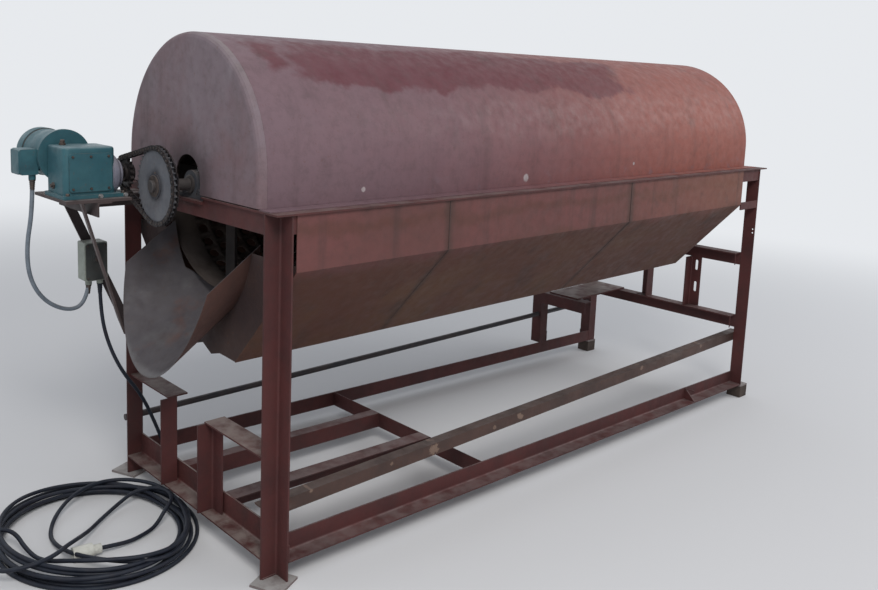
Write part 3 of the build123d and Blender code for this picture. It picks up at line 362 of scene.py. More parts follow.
def finish(
    name, colour, second, rough=0.6, metal=0.0, patch=2.2, streak=0.0, grime=0.5, grime_colour=GRIME,
    rub=0.5, rub_colour=BARE, dust=0.4, dust_colour=DUST, rust=0.3, bump=0.25, grain=260.0, dents=0.0,
    marks=None,
):
    """Weathered finish made of a mottled base, streaks, grime, rust specks, rubbed edges and settled dust."""
    material = bpy.data.materials.new(name)
    material.use_nodes = True
    tree = material.node_tree
    tree.nodes.clear()
    where = add(tree, "ShaderNodeTexCoord").outputs["Object"]
    geometry = add(tree, "ShaderNodeNewGeometry")
    surface = layer(tree, colour, band(tree, noise(tree, where, patch), 0.35, 0.66), second)
    if marks:
        surface = marks(tree, where, surface)
    mottle = band(tree, noise(tree, where, 30.0, 8.0, roughness=0.75), 0.42, 0.70)
    surface = tint(tree, surface, mottle, 0.22, grime_colour)
    if streak:
        runs = band(tree, noise(tree, where, 9.0, 5.0, (1.0, 1.0, 0.07)), 0.5, 0.74)
        surface = tint(tree, surface, runs, streak, grime_colour)
    if grime:
        dirt = patches(tree, where, 11.0, 8.0, 0.52, 0.78)
        surface = tint(tree, surface, dirt, grime, grime_colour)
    if rust:
        specks = patches(tree, where, 70.0, 6.0, 0.63, 0.70)
        surface = tint(tree, surface, specks, rust, RUST)
    if rub:
        rounded = add(tree, "ShaderNodeBevel", {"Radius": 0.004}, samples=6).outputs[0]
        links = {0: rounded, 1: geometry.outputs["Normal"]}
        flat = add(tree, "ShaderNodeVectorMath", links, operation="DOT_PRODUCT")
        edge = band(tree, flat.outputs["Value"], 0.985, 0.90)
        broken = patches(tree, where, 32.0, 6.0, 0.40, 0.58)
        surface = tint(tree, surface, times(tree, edge, broken), rub, rub_colour)
    if dust:
        upward = add(tree, "ShaderNodeSeparateXYZ", {0: geometry.outputs["Normal"]}).outputs["Z"]
        settled = times(tree, band(tree, upward, 0.25, 0.95), patches(tree, where, 14.0, 7.0, 0.28, 0.64))
        surface = tint(tree, surface, settled, dust, dust_colour)
    gloss = add(tree, "ShaderNodeMapRange", {
        "Value": noise(tree, where, 24.0, 6.0), "From Min": 0.3, "From Max": 0.7,
        "To Min": max(0.05, rough - 0.13), "To Max": min(1.0, rough + 0.13),
    }).outputs[0]
    coarse = noise(tree, where, grain / 9, 5.0)
    relief = sum_up(tree, "MULTIPLY_ADD", coarse, 0.6, noise(tree, where, grain, 3.0))
    shape = add(tree, "ShaderNodeBump", {"Strength": bump, "Distance": 0.0012, "Height": relief}).outputs[0]
    if dents:
        hollows = noise(tree, where, 2.6, 2.0)
        shape = add(tree, "ShaderNodeBump", {
            "Strength": dents, "Distance": 0.02, "Height": hollows, "Normal": shape,
        }).outputs[0]
    shader = add(tree, "ShaderNodeBsdfPrincipled", {
        "Base Color": surface, "Roughness": gloss, "Metallic": metal, "Normal": shape,
        "Specular IOR Level": SHEEN,
    })
    add(tree, "ShaderNodeOutputMaterial", {"Surface": shader.outputs[0]})
    return material


# %% [markdown]
# ## Hood paint
# The hood is painted with red primer. Towards the discharge end it is dusty and greyish, partly as painted
# shade, and towards the feed end it is warmer and lighter as painted sunlight. Darker, fresher primer was
# daubed on its top: one blotch near the left end and one long band along the crown.
# A few pale scuffs lie along its lower edge. Angles are measured round the hood from its crown to the front.

# %% Marks on the hood
HOOD_CENTRE = 1.302
FRESH_PRIMER = (0.088, 0.015, 0.022)
DUST_AND_SHADE_GREY = (0.142, 0.104, 0.124)
PAINTED_SUNLIGHT = (0.265, 0.080, 0.055)
SCUFF = (0.33, 0.28, 0.285)


def hood_marks(tree, where, surface):
    """Dust with painted shade at the left, painted sunlight at the right, daubs of fresh primer and pale
    scuffs.
    """
    x, y, z = machine_axes(tree, where)
    front = sum_up(tree, "MULTIPLY", y, -1.0)
    angle = sum_up(tree, "ARCTAN2", front, sum_up(tree, "SUBTRACT", z, HOOD_CENTRE))
    wander = sum_up(tree, "SUBTRACT", noise(tree, where, 4.5, 7.0), 0.5)
    x_rough = sum_up(tree, "MULTIPLY_ADD", wander, 0.5, x)
    angle_rough = sum_up(tree, "MULTIPLY_ADD", wander, 0.55, angle)
    # Painted sunlight: the right part of the hood is tinted warmer and lighter.
    surface = tint(tree, surface, band(tree, x_rough, 0.9, 2.9), 0.8, PAINTED_SUNLIGHT)
    # Dust haze with painted shade: the left part of the hood is tinted greyer.
    surface = tint(tree, surface, band(tree, x_rough, 1.9, -0.2), 0.75, DUST_AND_SHADE_GREY)
    crown = between(tree, angle_rough, 0.32, 0.90, 0.035)
    daubs = times(tree, between(tree, x_rough, 0.31, 2.15, 0.05), crown)
    surface = tint(tree, surface, daubs, 0.78, FRESH_PRIMER)
    blotch_round = between(tree, angle_rough, 0.42, 0.76, 0.06)
    blotch = times(tree, between(tree, x_rough, 0.13, 0.27, 0.04), blotch_round)
    surface = tint(tree, surface, blotch, 0.85, FRESH_PRIMER)
    low_edge = band(tree, z, 1.30, 1.21)
    splash = patches(tree, where, 16.0, 5.0, 0.56, 0.68)
    surface = tint(tree, surface, times(tree, low_edge, splash), 0.45, DUST_AND_SHADE_GREY)
    on_front = band(tree, front, 0.2, 0.3)
    for spot_x, spot_z, size in ((1.273, 1.235, 0.018), (0.416, 1.240, 0.011), (2.05, 1.262, 0.009)):
        away = distance(tree, x, z, spot_x, spot_z)
        ragged = sum_up(tree, "MULTIPLY_ADD", noise(tree, where, 60.0, 5.0), size, away)
        surface = tint(tree, surface, band(tree, ragged, size * 1.5, size * 1.1), on_front, SCUFF)
    return surface


hood_primer = finish(
    "hood_primer", (0.160, 0.064, 0.066), (0.130, 0.054, 0.060), rough=0.52, streak=0.3, grime=0.22,
    dust=0.14, dust_colour=(0.19, 0.13, 0.14), rub=0.35, bump=0.14, dents=0.35, marks=hood_marks,
)
print("hood paint nodes", len(hood_primer.node_tree.nodes))

# %% [markdown]
# The end plate is the same primer under a grey film of dust, with dark grease thrown round the shaft's
# notch.

# %% Marks on the end plate
SHAFT_HEIGHT = 1.232


def end_marks(tree, where, surface):
    """Grease round the shaft and paler patches."""
    x, y, z = machine_axes(tree, where)
    away = distance(tree, y, z, 0.0, SHAFT_HEIGHT)
    wander = noise(tree, where, 12.0, 6.0)
    thrown = band(tree, sum_up(tree, "MULTIPLY_ADD", wander, 0.16, away), 0.30, 0.17)
    surface = tint(tree, surface, thrown, 0.6, (0.055, 0.045, 0.05))
    pale = patches(tree, where, 5.0, 6.0, 0.50, 0.72)
    return tint(tree, surface, pale, 0.4, (0.215, 0.185, 0.205))


end_primer = finish(
    "end_primer", (0.165, 0.128, 0.145), (0.160, 0.105, 0.115), rough=0.62, patch=3.4, streak=0.3, grime=0.25,
    dust=0.3, rub=0.35, bump=0.14, dents=0.25, marks=end_marks,
)
print("end plate paint nodes", len(end_primer.node_tree.nodes))

# %% [markdown]
# ## Trough sheets
# The trough's upright bands were primed. Below the crease the sheets are browner and darker, a brown tide
# line runs along the band, and dirt has gathered on each side of the two seams.

# %% Marks on the trough
CREASE = 1.015
SEAMS = (0.740, 1.895)


def trough_marks(tree, where, surface):
    """Darker sheet below the crease, a tide line along the band, and dirt at the seams."""
    x, y, z = machine_axes(tree, where)
    wander = sum_up(tree, "SUBTRACT", noise(tree, where, 5.0, 7.0), 0.5)
    z_rough = sum_up(tree, "MULTIPLY_ADD", wander, 0.16, z)
    below = band(tree, z_rough, CREASE + 0.02, CREASE - 0.04)
    surface = tint(tree, surface, below, 0.85, (0.088, 0.036, 0.023))
    brown = times(tree, band(tree, z_rough, CREASE, 0.8), patches(tree, where, 3.0, 6.0, 0.42, 0.62))
    surface = tint(tree, surface, brown, 0.65, (0.112, 0.058, 0.033))
    tide = between(tree, z_rough, 1.118, 1.150, 0.014)
    surface = tint(tree, surface, tide, 0.55, (0.085, 0.035, 0.026))
    for seam in SEAMS:
        off = sum_up(tree, "ABSOLUTE", sum_up(tree, "SUBTRACT", x, seam), 0.0)
        off = sum_up(tree, "MULTIPLY_ADD", wander, 0.05, off)
        surface = tint(tree, surface, band(tree, off, 0.035, 0.0), 0.7, (0.05, 0.03, 0.025))
    warm = times(tree, band(tree, x, 1.4, 3.0), band(tree, z_rough, 0.95, 1.05))
    return tint(tree, surface, warm, 0.6, (0.19, 0.078, 0.05))


trough_primer = finish(
    "trough_primer", (0.132, 0.050, 0.047), (0.108, 0.045, 0.041), rough=0.6, streak=0.55, grime=0.4,
    dust=0.15, bump=0.18, dents=0.5, marks=trough_marks,
)
print("trough paint nodes", len(trough_primer.node_tree.nodes))

# %% [markdown]
# ## Mid rail
# The long angle along the front has lost its paint. It is nearly black with a few pale chips where things
# were dropped on its edge.

# %% Marks on the mid rail
CHIPS = (
    (0.20, 0.249, 0.008), (0.561, 0.238, 0.012), (0.774, 0.233, 0.026), (1.121, 0.231, 0.010),
    (1.277, 0.238, 0.017), (2.198, 0.252, 0.013), (2.772, 0.258, 0.014),
)


def rail_marks(tree, where, surface):
    """Pale chips and scraped stretches along the rail."""
    x, y, z = machine_axes(tree, where)
    wander = sum_up(tree, "SUBTRACT", noise(tree, where, 45.0, 6.0), 0.5)
    for chip_x, chip_z, size in CHIPS:
        ragged = sum_up(tree, "MULTIPLY_ADD", wander, size * 3.0, distance(tree, x, z, chip_x, chip_z))
        surface = tint(tree, surface, band(tree, ragged, size, size * 0.7), 0.75, (0.24, 0.165, 0.125))
    scraped = band(tree, noise(tree, where, 8.0, 6.0, (0.3, 1.0, 1.0)), 0.56, 0.66)
    return tint(tree, surface, scraped, 0.55, (0.14, 0.105, 0.09))


rail_steel = finish(
    "rail_steel", (0.062, 0.04, 0.035), (0.085, 0.05, 0.042), rough=0.5, metal=0.25, patch=7.0, grime=0.3,
    dust=0.3, dust_colour=(0.17, 0.14, 0.13), rub=0.7, rust=0.6, bump=0.35, marks=rail_marks,
)
print("rail nodes", len(rail_steel.node_tree.nodes))

# %% [markdown]
# ## Frame, chute and the rest
# The other finishes need no marks with a fixed place. The frame is dark red-brown primer, rubbed at its
# edges and dusty on top. The chute is worn steel, grey inside where the goods slide and rusty outside.

# %% Frame, pipe and packing
frame_primer = finish(
    "frame_primer", (0.084, 0.027, 0.026), (0.062, 0.023, 0.023), rough=0.62, patch=5.0, streak=0.3,
    grime=0.45, dust=0.5, dust_colour=(0.19, 0.15, 0.145), rub=0.8, rub_colour=(0.04, 0.026, 0.025),
    bump=0.3,
)
bay_primer = finish(
    "bay_primer", (0.092, 0.030, 0.028), (0.070, 0.026, 0.025), rough=0.6, patch=6.0, streak=0.3, grime=0.5,
    dust=0.85, dust_colour=(0.22, 0.18, 0.165), rub=0.8, rub_colour=(0.04, 0.026, 0.025), bump=0.3,
)
foot_steel = finish(
    "foot_steel", (0.16, 0.12, 0.115), (0.21, 0.19, 0.185), rough=0.6, patch=9.0, grime=0.5, dust=0.8,
    dust_colour=(0.34, 0.33, 0.32), rub=0.5, bump=0.4,
)
pipe_paint = finish(
    "pipe_paint", (0.038, 0.038, 0.046), (0.055, 0.042, 0.042), rough=0.45, patch=7.0, dust=0.35,
    dust_colour=(0.16, 0.15, 0.15), bump=0.25,
)
packing_wood = finish(
    "packing_wood", (0.045, 0.034, 0.03), (0.065, 0.048, 0.04), rough=0.8, patch=20.0, grime=0.5,
    dust=0.6, rust=0, bump=0.6,
)
print("finishes", len(bpy.data.materials))

# %% Chute and torn end plate


def chute_marks(tree, where, surface):
    """Grey worn inside, rusty outside, and a bright rubbed lip."""
    x, y, z = machine_axes(tree, where)
    facing = add(tree, "ShaderNodeNewGeometry").outputs["Normal"]
    normal = add(tree, "ShaderNodeSeparateXYZ", {0: facing}).outputs
    inward = sum_up(tree, "MULTIPLY_ADD", times(tree, y, normal["Y"]), -4.0, normal["Z"])
    inside = band(tree, inward, -0.25, 0.25)
    rough_inside = times(tree, inside, patches(tree, where, 6.0, 6.0, 0.25, 0.45))
    surface = tint(tree, surface, rough_inside, 0.9, (0.062, 0.060, 0.068))
    smear = band(tree, noise(tree, where, 7.0, 6.0, (0.35, 1.0, 1.0)), 0.50, 0.68)
    surface = tint(tree, surface, times(tree, smear, inside), 0.6, (0.098, 0.096, 0.098))
    edge = band(tree, sum_up(tree, "MULTIPLY_ADD", noise(tree, where, 22.0, 4.0), 0.03, x), -0.115, -0.14)
    return tint(tree, surface, edge, 0.6, (0.17, 0.168, 0.172))


chute_steel = finish(
    "chute_steel", (0.105, 0.050, 0.040), (0.085, 0.045, 0.038), rough=0.62, patch=3.5, streak=0.3,
    grime=0.35, dust=0.15, dust_colour=(0.2, 0.19, 0.19), bump=0.2, dents=0.5, marks=chute_marks,
)
torn_steel = finish(
    "torn_steel", (0.045, 0.03, 0.03), (0.062, 0.038, 0.034), rough=0.65, patch=5.0, grime=0.5, dust=0.2,
    rust=0.7, bump=0.4, dents=0.4,
)
print("chute nodes", len(chute_steel.node_tree.nodes))

# %% Drum and drive
drum_steel = finish(
    "drum_steel", (0.055, 0.043, 0.038), (0.075, 0.052, 0.040), rough=0.6, metal=0.2, grime=0.6, dust=0.2,
)
spider_steel = finish(
    "spider_steel", (0.02, 0.018, 0.018), (0.03, 0.024, 0.023), rough=0.8, grime=0.6, dust=0.1,
)
shaft_steel = finish(
    "shaft_steel", (0.085, 0.080, 0.080), (0.065, 0.057, 0.056), rough=0.5, metal=0.4, grime=0.5,
    dust=0.2, rub=0,
)


def sprocket_marks(tree, where, surface):
    """Black grease round the hub, thinning out over the plate, and an oily rim."""
    x, y, z = machine_axes(tree, where)
    wander = noise(tree, where, 14.0, 6.0)
    away = sum_up(tree, "MULTIPLY_ADD", wander, 0.03, distance(tree, y, z, 0.0, SHAFT_HEIGHT))
    surface = tint(tree, surface, band(tree, away, 0.085, 0.052), 0.75, (0.028, 0.028, 0.034))
    return tint(tree, surface, band(tree, away, 0.130, 0.142), 0.6, (0.05, 0.05, 0.055))


sprocket_steel = finish(
    "sprocket_steel", (0.108, 0.113, 0.128), (0.135, 0.138, 0.15), rough=0.55, metal=0.15, patch=14.0,
    grime=0.4, dust=0.2, rub=0.6, rub_colour=(0.03, 0.03, 0.033), marks=sprocket_marks,
)
chain_steel = finish(
    "chain_steel", (0.018, 0.017, 0.020), (0.032, 0.028, 0.028), rough=0.45, metal=0.4, patch=40.0,
    grime=0.3, dust=0.3, dust_colour=(0.15, 0.14, 0.14),
)
bearing_iron = finish(
    "bearing_iron", (0.06, 0.065, 0.078), (0.085, 0.09, 0.10), rough=0.5, patch=16.0, grime=0.6, dust=0.5,
    bump=0.5,
)
bright_bolts = finish(
    "bright_bolts", (0.42, 0.42, 0.43), (0.33, 0.32, 0.31), rough=0.35, metal=0.7, patch=60.0, grime=0.4,
    dust=0.2, rub=0, bump=0.1,
)
dark_bolts = finish(
    "dark_bolts", (0.06, 0.05, 0.048), (0.09, 0.07, 0.06), rough=0.5, metal=0.5, patch=60.0, grime=0.4,
    dust=0.3, rub=0, bump=0.15,
)
print("finishes", len(bpy.data.materials))

# %% Gearbox, motor, boxes and cables
gear_paint = finish(
    "gear_paint", (0.026, 0.085, 0.106), (0.036, 0.105, 0.125), rough=0.45, patch=9.0, streak=0.35, grime=0.5,
    grime_colour=(0.022, 0.038, 0.045), dust=0.5, dust_colour=(0.24, 0.30, 0.32), rub=0.5, bump=0.3,
)
cover_paint = finish(
    "cover_paint", (0.20, 0.195, 0.235), (0.16, 0.16, 0.20), rough=0.45, patch=16.0, grime=0.45, dust=0.3,
    bump=0.25,
)
platform_paint = finish(
    "platform_paint", (0.052, 0.040, 0.040), (0.07, 0.052, 0.052), rough=0.6, patch=9.0, grime=0.5, dust=0.75,
    dust_colour=(0.21, 0.18, 0.175), rub=0.7,
)


def back_brace_shade(tree, where, surface):
    """The brace at the back is painted much darker than the strut in front of it: painted shade."""
    x, y, z = machine_axes(tree, where)
    # Painted shade on the back brace, which sits in the shadow under the platform.
    return tint(tree, surface, band(tree, y, 0.4685, 0.4695), 0.85, (0.030, 0.024, 0.025))


brace_steel = finish(
    "brace_steel", (0.135, 0.108, 0.105), (0.09, 0.07, 0.068), rough=0.6, patch=8.0, streak=0.4, grime=0.5,
    dust=0.3, bump=0.3, marks=back_brace_shade,
)
switch_paint = finish(
    "switch_paint", (0.30, 0.33, 0.29), (0.26, 0.285, 0.25), rough=0.5, patch=10.0, grime=0.35, dust=0.3,
    rub=0.3, bump=0.08,
)
switch_cover = finish(
    "switch_cover", (0.040, 0.044, 0.044), (0.055, 0.060, 0.058), rough=0.5, patch=10.0, grime=0.3,
    dust=0.3, rub=0.3, bump=0.1,
)
conduit_plastic = finish(
    "conduit_plastic", (0.125, 0.15, 0.18), (0.155, 0.18, 0.21), rough=0.5, patch=20.0, grime=0.35, dust=0.25,
    rub=0, rust=0, bump=0.1,
)
lead_rubber = finish(
    "lead_rubber", (0.008, 0.011, 0.020), (0.014, 0.018, 0.028), rough=0.55, patch=14.0, grime=0.1, dust=0.15,
    dust_colour=(0.055, 0.063, 0.078), rub=0, rust=0, bump=0.12,
)
connector_plastic = finish(
    "connector_plastic", (0.58, 0.58, 0.53), (0.50, 0.50, 0.45), rough=0.5, patch=22.0, grime=0.4, dust=0.1,
    rub=0.2, rub_colour=(0.25, 0.24, 0.21), rust=0, bump=0.1,
)
print("finishes", len(bpy.data.materials))

# %% Give each part its finish
worn_by = (
    (hood_primer, "hood_shell", "hood_end_right", "hood_lips"),
    (end_primer, "hood_end_left"),
    (trough_primer, "trough_front", "trough_back", "trough_end_right"),
    (torn_steel, "trough_end_left"),
    (chute_steel, "chute"),
    (drum_steel, "drum_screen", "drum_hoops", "screen_panel_front", "screen_panel_back"),
    (drum_steel, "screen_panel_top", "screen_panel_bottom"),
    (spider_steel, "drum_spiders"),
    (shaft_steel, "drum_shaft"),
    (sprocket_steel, "drum_sprocket"),
    (chain_steel, "drive_pinion", "drive_chain"),
    (bearing_iron, "bearings"),
    (rail_steel, "mid_front_rail"),
    (pipe_paint, "rear_pipe"),
    (gear_paint, "gearbox", "motor", "terminal_box"),
    (platform_paint, "motor_platform", "platform_beams"),
    (brace_steel, "platform_braces"),
    (switch_paint, "switch_box"),
    (connector_plastic, "lead_connector"),
    (packing_wood, "packing_blocks"),
    (bay_primer, "bay_ledges", "lower_left_rail", "shelf_plate"),
    (foot_steel, "foot_plates"),
)
finish_of = {name: paint for paint, *names in worn_by for name in names}
for name, node in nodes.items():
    node.data.materials.clear()
    node.data.materials.append(finish_of.get(name, frame_primer))
conduit.data.materials.append(conduit_plastic)
lead.data.materials.append(lead_rubber)
print("parts with a finish of their own", len(finish_of), "of", len(nodes))

# %% [markdown]
# ## Small round and six-sided pieces
# Bolts, pins, collars and glands are all stacks of rings along one direction. One function builds such a
# stack from its list of rings, each with its distance along the direction and its radius, all in
# millimetres.

# %% A function that stacks rings


def stack(shape, spot, direction, rings, sides=20):
    """Adds a closed stack of rings to a mesh. Each ring is (distance along the direction, radius)."""
    axis = Vector(direction).normalized()
    side = axis.orthogonal().normalized()
    turn = axis.cross(side)
    loops = []
    for along, radius in rings:
        centre = Vector(spot) + axis * along
        corners = []
        for number in range(sides):
            angle = 2 * math.pi * number / sides
            corner = centre + (side * math.cos(angle) + turn * math.sin(angle)) * radius
            corners.append(shape.verts.new(place(*corner)))
        loops.append(corners)
    for low, high in zip(loops, loops[1:]):
        for number in range(sides):
            following = (number + 1) % sides
            shape.faces.new((low[number], low[following], high[following], high[number]))
    shape.faces.new(loops[0][::-1])
    shape.faces.new(loops[-1])


def make_piece(name, shape, paint, body="root"):
    """Turns a finished mesh into a piece that rides on a body, with flat faces kept and curves smooth."""
    bmesh.ops.recalc_face_normals(shape, faces=shape.faces)
    mesh = bpy.data.meshes.new(name)
    shape.to_mesh(mesh)
    shape.free()
    mesh.shade_smooth()
    mesh.set_sharp_from_angle(angle=math.radians(35))
    mesh.materials.append(paint)
    piece = bpy.data.objects.new(name, mesh)
    bpy.context.scene.collection.objects.link(piece)
    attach(piece, body)
    print(name, len(mesh.polygons), "faces")
    return piece


def bolt(shape, spot, direction, across):
    """Washer and chamfered hexagon head, as wide across its flats as it says."""
    corner = across / math.sqrt(3)
    stack(shape, spot, direction, [(0, across * 0.62), (across * 0.12, across * 0.62)])
    head = [(across * 0.12, corner), (across * 0.62, corner), (across * 0.72, corner * 0.86)]
    stack(shape, spot, direction, head, sides=6)


def lid(shape, low, high, rounding, axis):
    """Adds a plate between two corners, in millimetres, whose edges along one axis are rounded."""
    made = bmesh.ops.create_cube(shape, size=1)["verts"]
    middle = [(a + b) / 2 for a, b in zip(low, high)]
    size = [b - a for a, b in zip(low, high)]
    for corner in made:
        corner.co = Vector([m + c * s for m, c, s in zip(middle, corner.co, size)])
    edges = {edge for corner in made for edge in corner.link_edges}
    long_edges = [edge for edge in edges if abs((edge.verts[0].co - edge.verts[1].co)[axis]) > 1e-6]
    bmesh.ops.bevel(shape, geom=long_edges, offset=rounding, segments=4, affect="EDGES", profile=0.5)


def set_on_machine(shape):
    """Moves a mesh that was made in millimetres on the machine to its place in the scene."""
    for corner in shape.verts:
        corner.co = place(*corner.co)


# %% [markdown]
# ## Rails that the photograph shows better
# Measured again with the camera in place, the mid rail is a smaller angle that sinks towards the left end.
# The two conveyor rails turn their flanges away from each other, and the cross member's flange lies at its
# foot, where it can't be seen. These four bars are swept here from an angle's profile and stand in for the
# CAD ones.

# %% A function that sweeps an angle bar


def angle_bar(shape, start, end, first, second, first_leg, second_leg, wall=6, root=6):
    """Adds a rolled angle from one place to another. Its legs leave its heel in the two directions given."""
    toe = wall * 0.45
    profile = [
        (0, 0), (first_leg, 0), (first_leg, toe), (first_leg - toe, wall), (wall + root, wall),
        (wall + root * 0.3, wall + root * 0.3), (wall, wall + root), (wall, second_leg - toe),
        (toe, second_leg), (0, second_leg),
    ]
    rings = []
    for spot in (start, end):
        corners = [Vector(spot) + Vector(first) * a + Vector(second) * b for a, b in profile]
        rings.append([shape.verts.new(place(*corner)) for corner in corners])
    for number in range(len(profile)):
        following = (number + 1) % len(profile)
        shape.faces.new((rings[0][number], rings[0][following], rings[1][following], rings[1][number]))
    shape.faces.new(rings[0][::-1])
    shape.faces.new(rings[1])


# %% Mid rail, conveyor rails and cross member
MID_LEG = 46
RAIL_TOP = 136
RAIL_LEG = 65
CROSS_X = 1048
INNER_FACE = 478

mid_rail = bmesh.new()
angle_bar(mid_rail, (8, -477.7, 249.8), (3192, -477.7, 271), (0, 1, 0), (0, 0, -1), MID_LEG, MID_LEG)
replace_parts(make_piece("mid_rail_bar", mid_rail, rail_steel), "mid_front_rail")

conveyor = bmesh.new()
for y, outward, flange in ((-115, -1, RAIL_LEG), (150, 1, 50)):
    start = (65.5, y, at_level(65, RAIL_TOP))
    end = (CROSS_X, y, at_level(CROSS_X, RAIL_TOP))
    angle_bar(conveyor, start, end, (0, outward, 0), (0, 0, -1), flange, RAIL_LEG)
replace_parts(make_piece("conveyor_bars", conveyor, frame_primer), "conveyor_rails")

crossing = bmesh.new()
cross_foot = at_level(CROSS_X, RAIL_TOP - RAIL_LEG)
cross_ends = [(CROSS_X, side * INNER_FACE, cross_foot) for side in (-1, 1)]
angle_bar(crossing, *cross_ends, (1, 0, 0), (0, 0, 1), RAIL_LEG, RAIL_LEG)
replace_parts(make_piece("cross_bar", crossing, frame_primer), "lower_cross_member")

# %% [markdown]
# ## The drum's holes
# The CAD model gives the drum a few holes and leaves the rest to this script. A screen is rolled from a
# punched sheet, so the mesh is made like one: a cell with one round hole is repeated along and round the
# drum, with every other row moved by half a step, and the thin sheet gets its thickness at the end.

# %% Punched barrel
DRUM_AXIS = 1232
DRUM_RADIUS = 380
DRUM_LEFT = 120
DRUM_RIGHT = 3085
SHEET = 4
HOLE_RADIUS = 20
HOLE_STEP = 60
HOLES_ROUND = 40
FIRST_ROW = 240
ROWS = 46


def on_drum(x, angle):
    """Scene point on the drum's outside, at an angle from its back."""
    return place(x, DRUM_RADIUS * math.cos(angle), DRUM_AXIS + DRUM_RADIUS * math.sin(angle))


def punched_cell(shape, x, angle):
    """Adds a square of sheet with a round hole in its middle."""
    half = HOLE_STEP / 2
    half_angle = math.pi / HOLES_ROUND
    square = [(-1, -1), (0, -1), (1, -1), (1, 0), (1, 1), (0, 1), (-1, 1), (-1, 0)]
    outer = [shape.verts.new(on_drum(x + half * a, angle + half_angle * b)) for a, b in square]
    inner = []
    for a, b in square:
        reach = HOLE_RADIUS / math.hypot(a, b)
        inner.append(shape.verts.new(on_drum(x + reach * a, angle + reach * b / DRUM_RADIUS)))
    for number in range(8):
        following = (number + 1) % 8
        shape.faces.new((outer[number], outer[following], inner[following], inner[number]))


def plain_band(shape, start, end):
    """Adds a band of sheet without holes."""
    corners = 2 * HOLES_ROUND
    for number in range(corners):
        a, b = (2 * math.pi * (number + k) / corners for k in (0, 1))
        spots = [(start, a), (start, b), (end, b), (end, a)]
        shape.faces.new([shape.verts.new(on_drum(*spot)) for spot in spots])


barrel = bmesh.new()
for row in range(ROWS):
    for number in range(HOLES_ROUND):
        punched_cell(barrel, FIRST_ROW + row * HOLE_STEP, 2 * math.pi * (number + row % 2 / 2) / HOLES_ROUND)
plain_band(barrel, DRUM_LEFT, FIRST_ROW - HOLE_STEP / 2)
plain_band(barrel, FIRST_ROW + (ROWS - 0.5) * HOLE_STEP, DRUM_RIGHT)
bmesh.ops.remove_doubles(barrel, verts=barrel.verts, dist=0.0005)
punched_barrel = make_piece("punched_barrel", barrel, drum_steel, "drum")
thickness = punched_barrel.modifiers.new("sheet", "SOLIDIFY")
thickness.thickness = SHEET / 1000
thickness.offset = -1
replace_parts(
    punched_barrel, "drum_screen", "screen_panel_front", "screen_panel_back", "screen_panel_top",
    "screen_panel_bottom",
)
print("holes", ROWS * HOLES_ROUND)

# %% [markdown]
# ## Chain pins
# The chain's plates are in the CAD model. Each link turns on a pin whose two round heads stand out of the
# outer plates, so the pins are set along the same loop: half round each sprocket and straight between them.

# %% Pins along the chain
LINKS = 56
PITCH = 19.05
BIG_RADIUS = PITCH / 2 / math.sin(math.pi / 42)
SMALL_RADIUS = PITCH / 2 / math.sin(math.pi / 18)
SHAFTS_APART = 236.454
DRIVE_ANGLE = math.radians(5.1)
CHAIN_X = -108
PLATES_HALF = 5.9 + 0.75 + 2 * 2.3


def chain_point(number):
    """Place of one pin on the machine, as y and z."""
    wrap = math.asin((BIG_RADIUS - SMALL_RADIUS) / SHAFTS_APART)
    straight = SHAFTS_APART * math.cos(wrap)
    big_half = BIG_RADIUS * (math.pi / 2 + wrap)
    half = big_half + straight + SMALL_RADIUS * (math.pi / 2 - wrap)
    along = 2 * half * number / LINKS
    s = min(along, 2 * half - along)
    if s <= big_half:
        angle = math.pi - s / BIG_RADIUS
        y, z = BIG_RADIUS * math.cos(angle), BIG_RADIUS * math.sin(angle)
    elif s <= big_half + straight:
        angle = math.pi / 2 - wrap
        run = s - big_half
        y = BIG_RADIUS * math.cos(angle) + run * math.sin(angle)
        z = BIG_RADIUS * math.sin(angle) - run * math.cos(angle)
    else:
        angle = math.pi / 2 - wrap - (s - big_half - straight) / SMALL_RADIUS
        y, z = SHAFTS_APART + SMALL_RADIUS * math.cos(angle), SMALL_RADIUS * math.sin(angle)
    if along > half:
        z = -z
    turned = y * math.cos(DRIVE_ANGLE) - z * math.sin(DRIVE_ANGLE)
    return turned, DRUM_AXIS + y * math.sin(DRIVE_ANGLE) + z * math.cos(DRIVE_ANGLE)


pins = bmesh.new()
for number in range(LINKS):
    for side in (-1, 1):
        head = (CHAIN_X + side * (PLATES_HALF - 0.3), *chain_point(number))
        stack(pins, head, (side, 0, 0), [(0, 3.2), (1.2, 3.2), (1.9, 2.2)], sides=12)
make_piece("chain_pins", pins, dark_bolts)

# %% [markdown]
# ## Bolts
# Two bright new bolts on the front edge of the gearbox's foot show from far off. All the other bolts are as
# dirty as what they hold: on the bearings' feet, round the motor's flange and on the covers.

# %% Bolt heads
GEAR_BASE = 1180.3
GEAR_FOOT_TOP = 1193.3
GEAR_TOP = 1352
BEARING_MIDDLES = (37.5, 3162.5)
BEARING_FOOT_TOP = 1198.2
MOTOR_X = -285
MOTOR_Z = 1310
FLANGE_CIRCLE = 82

bright = bmesh.new()
for x in (-234, -146):
    bolt(bright, (x, 155.8, 1187), (0, -1, 0), 13)
make_piece("gearbox_bolts", bright, bright_bolts)

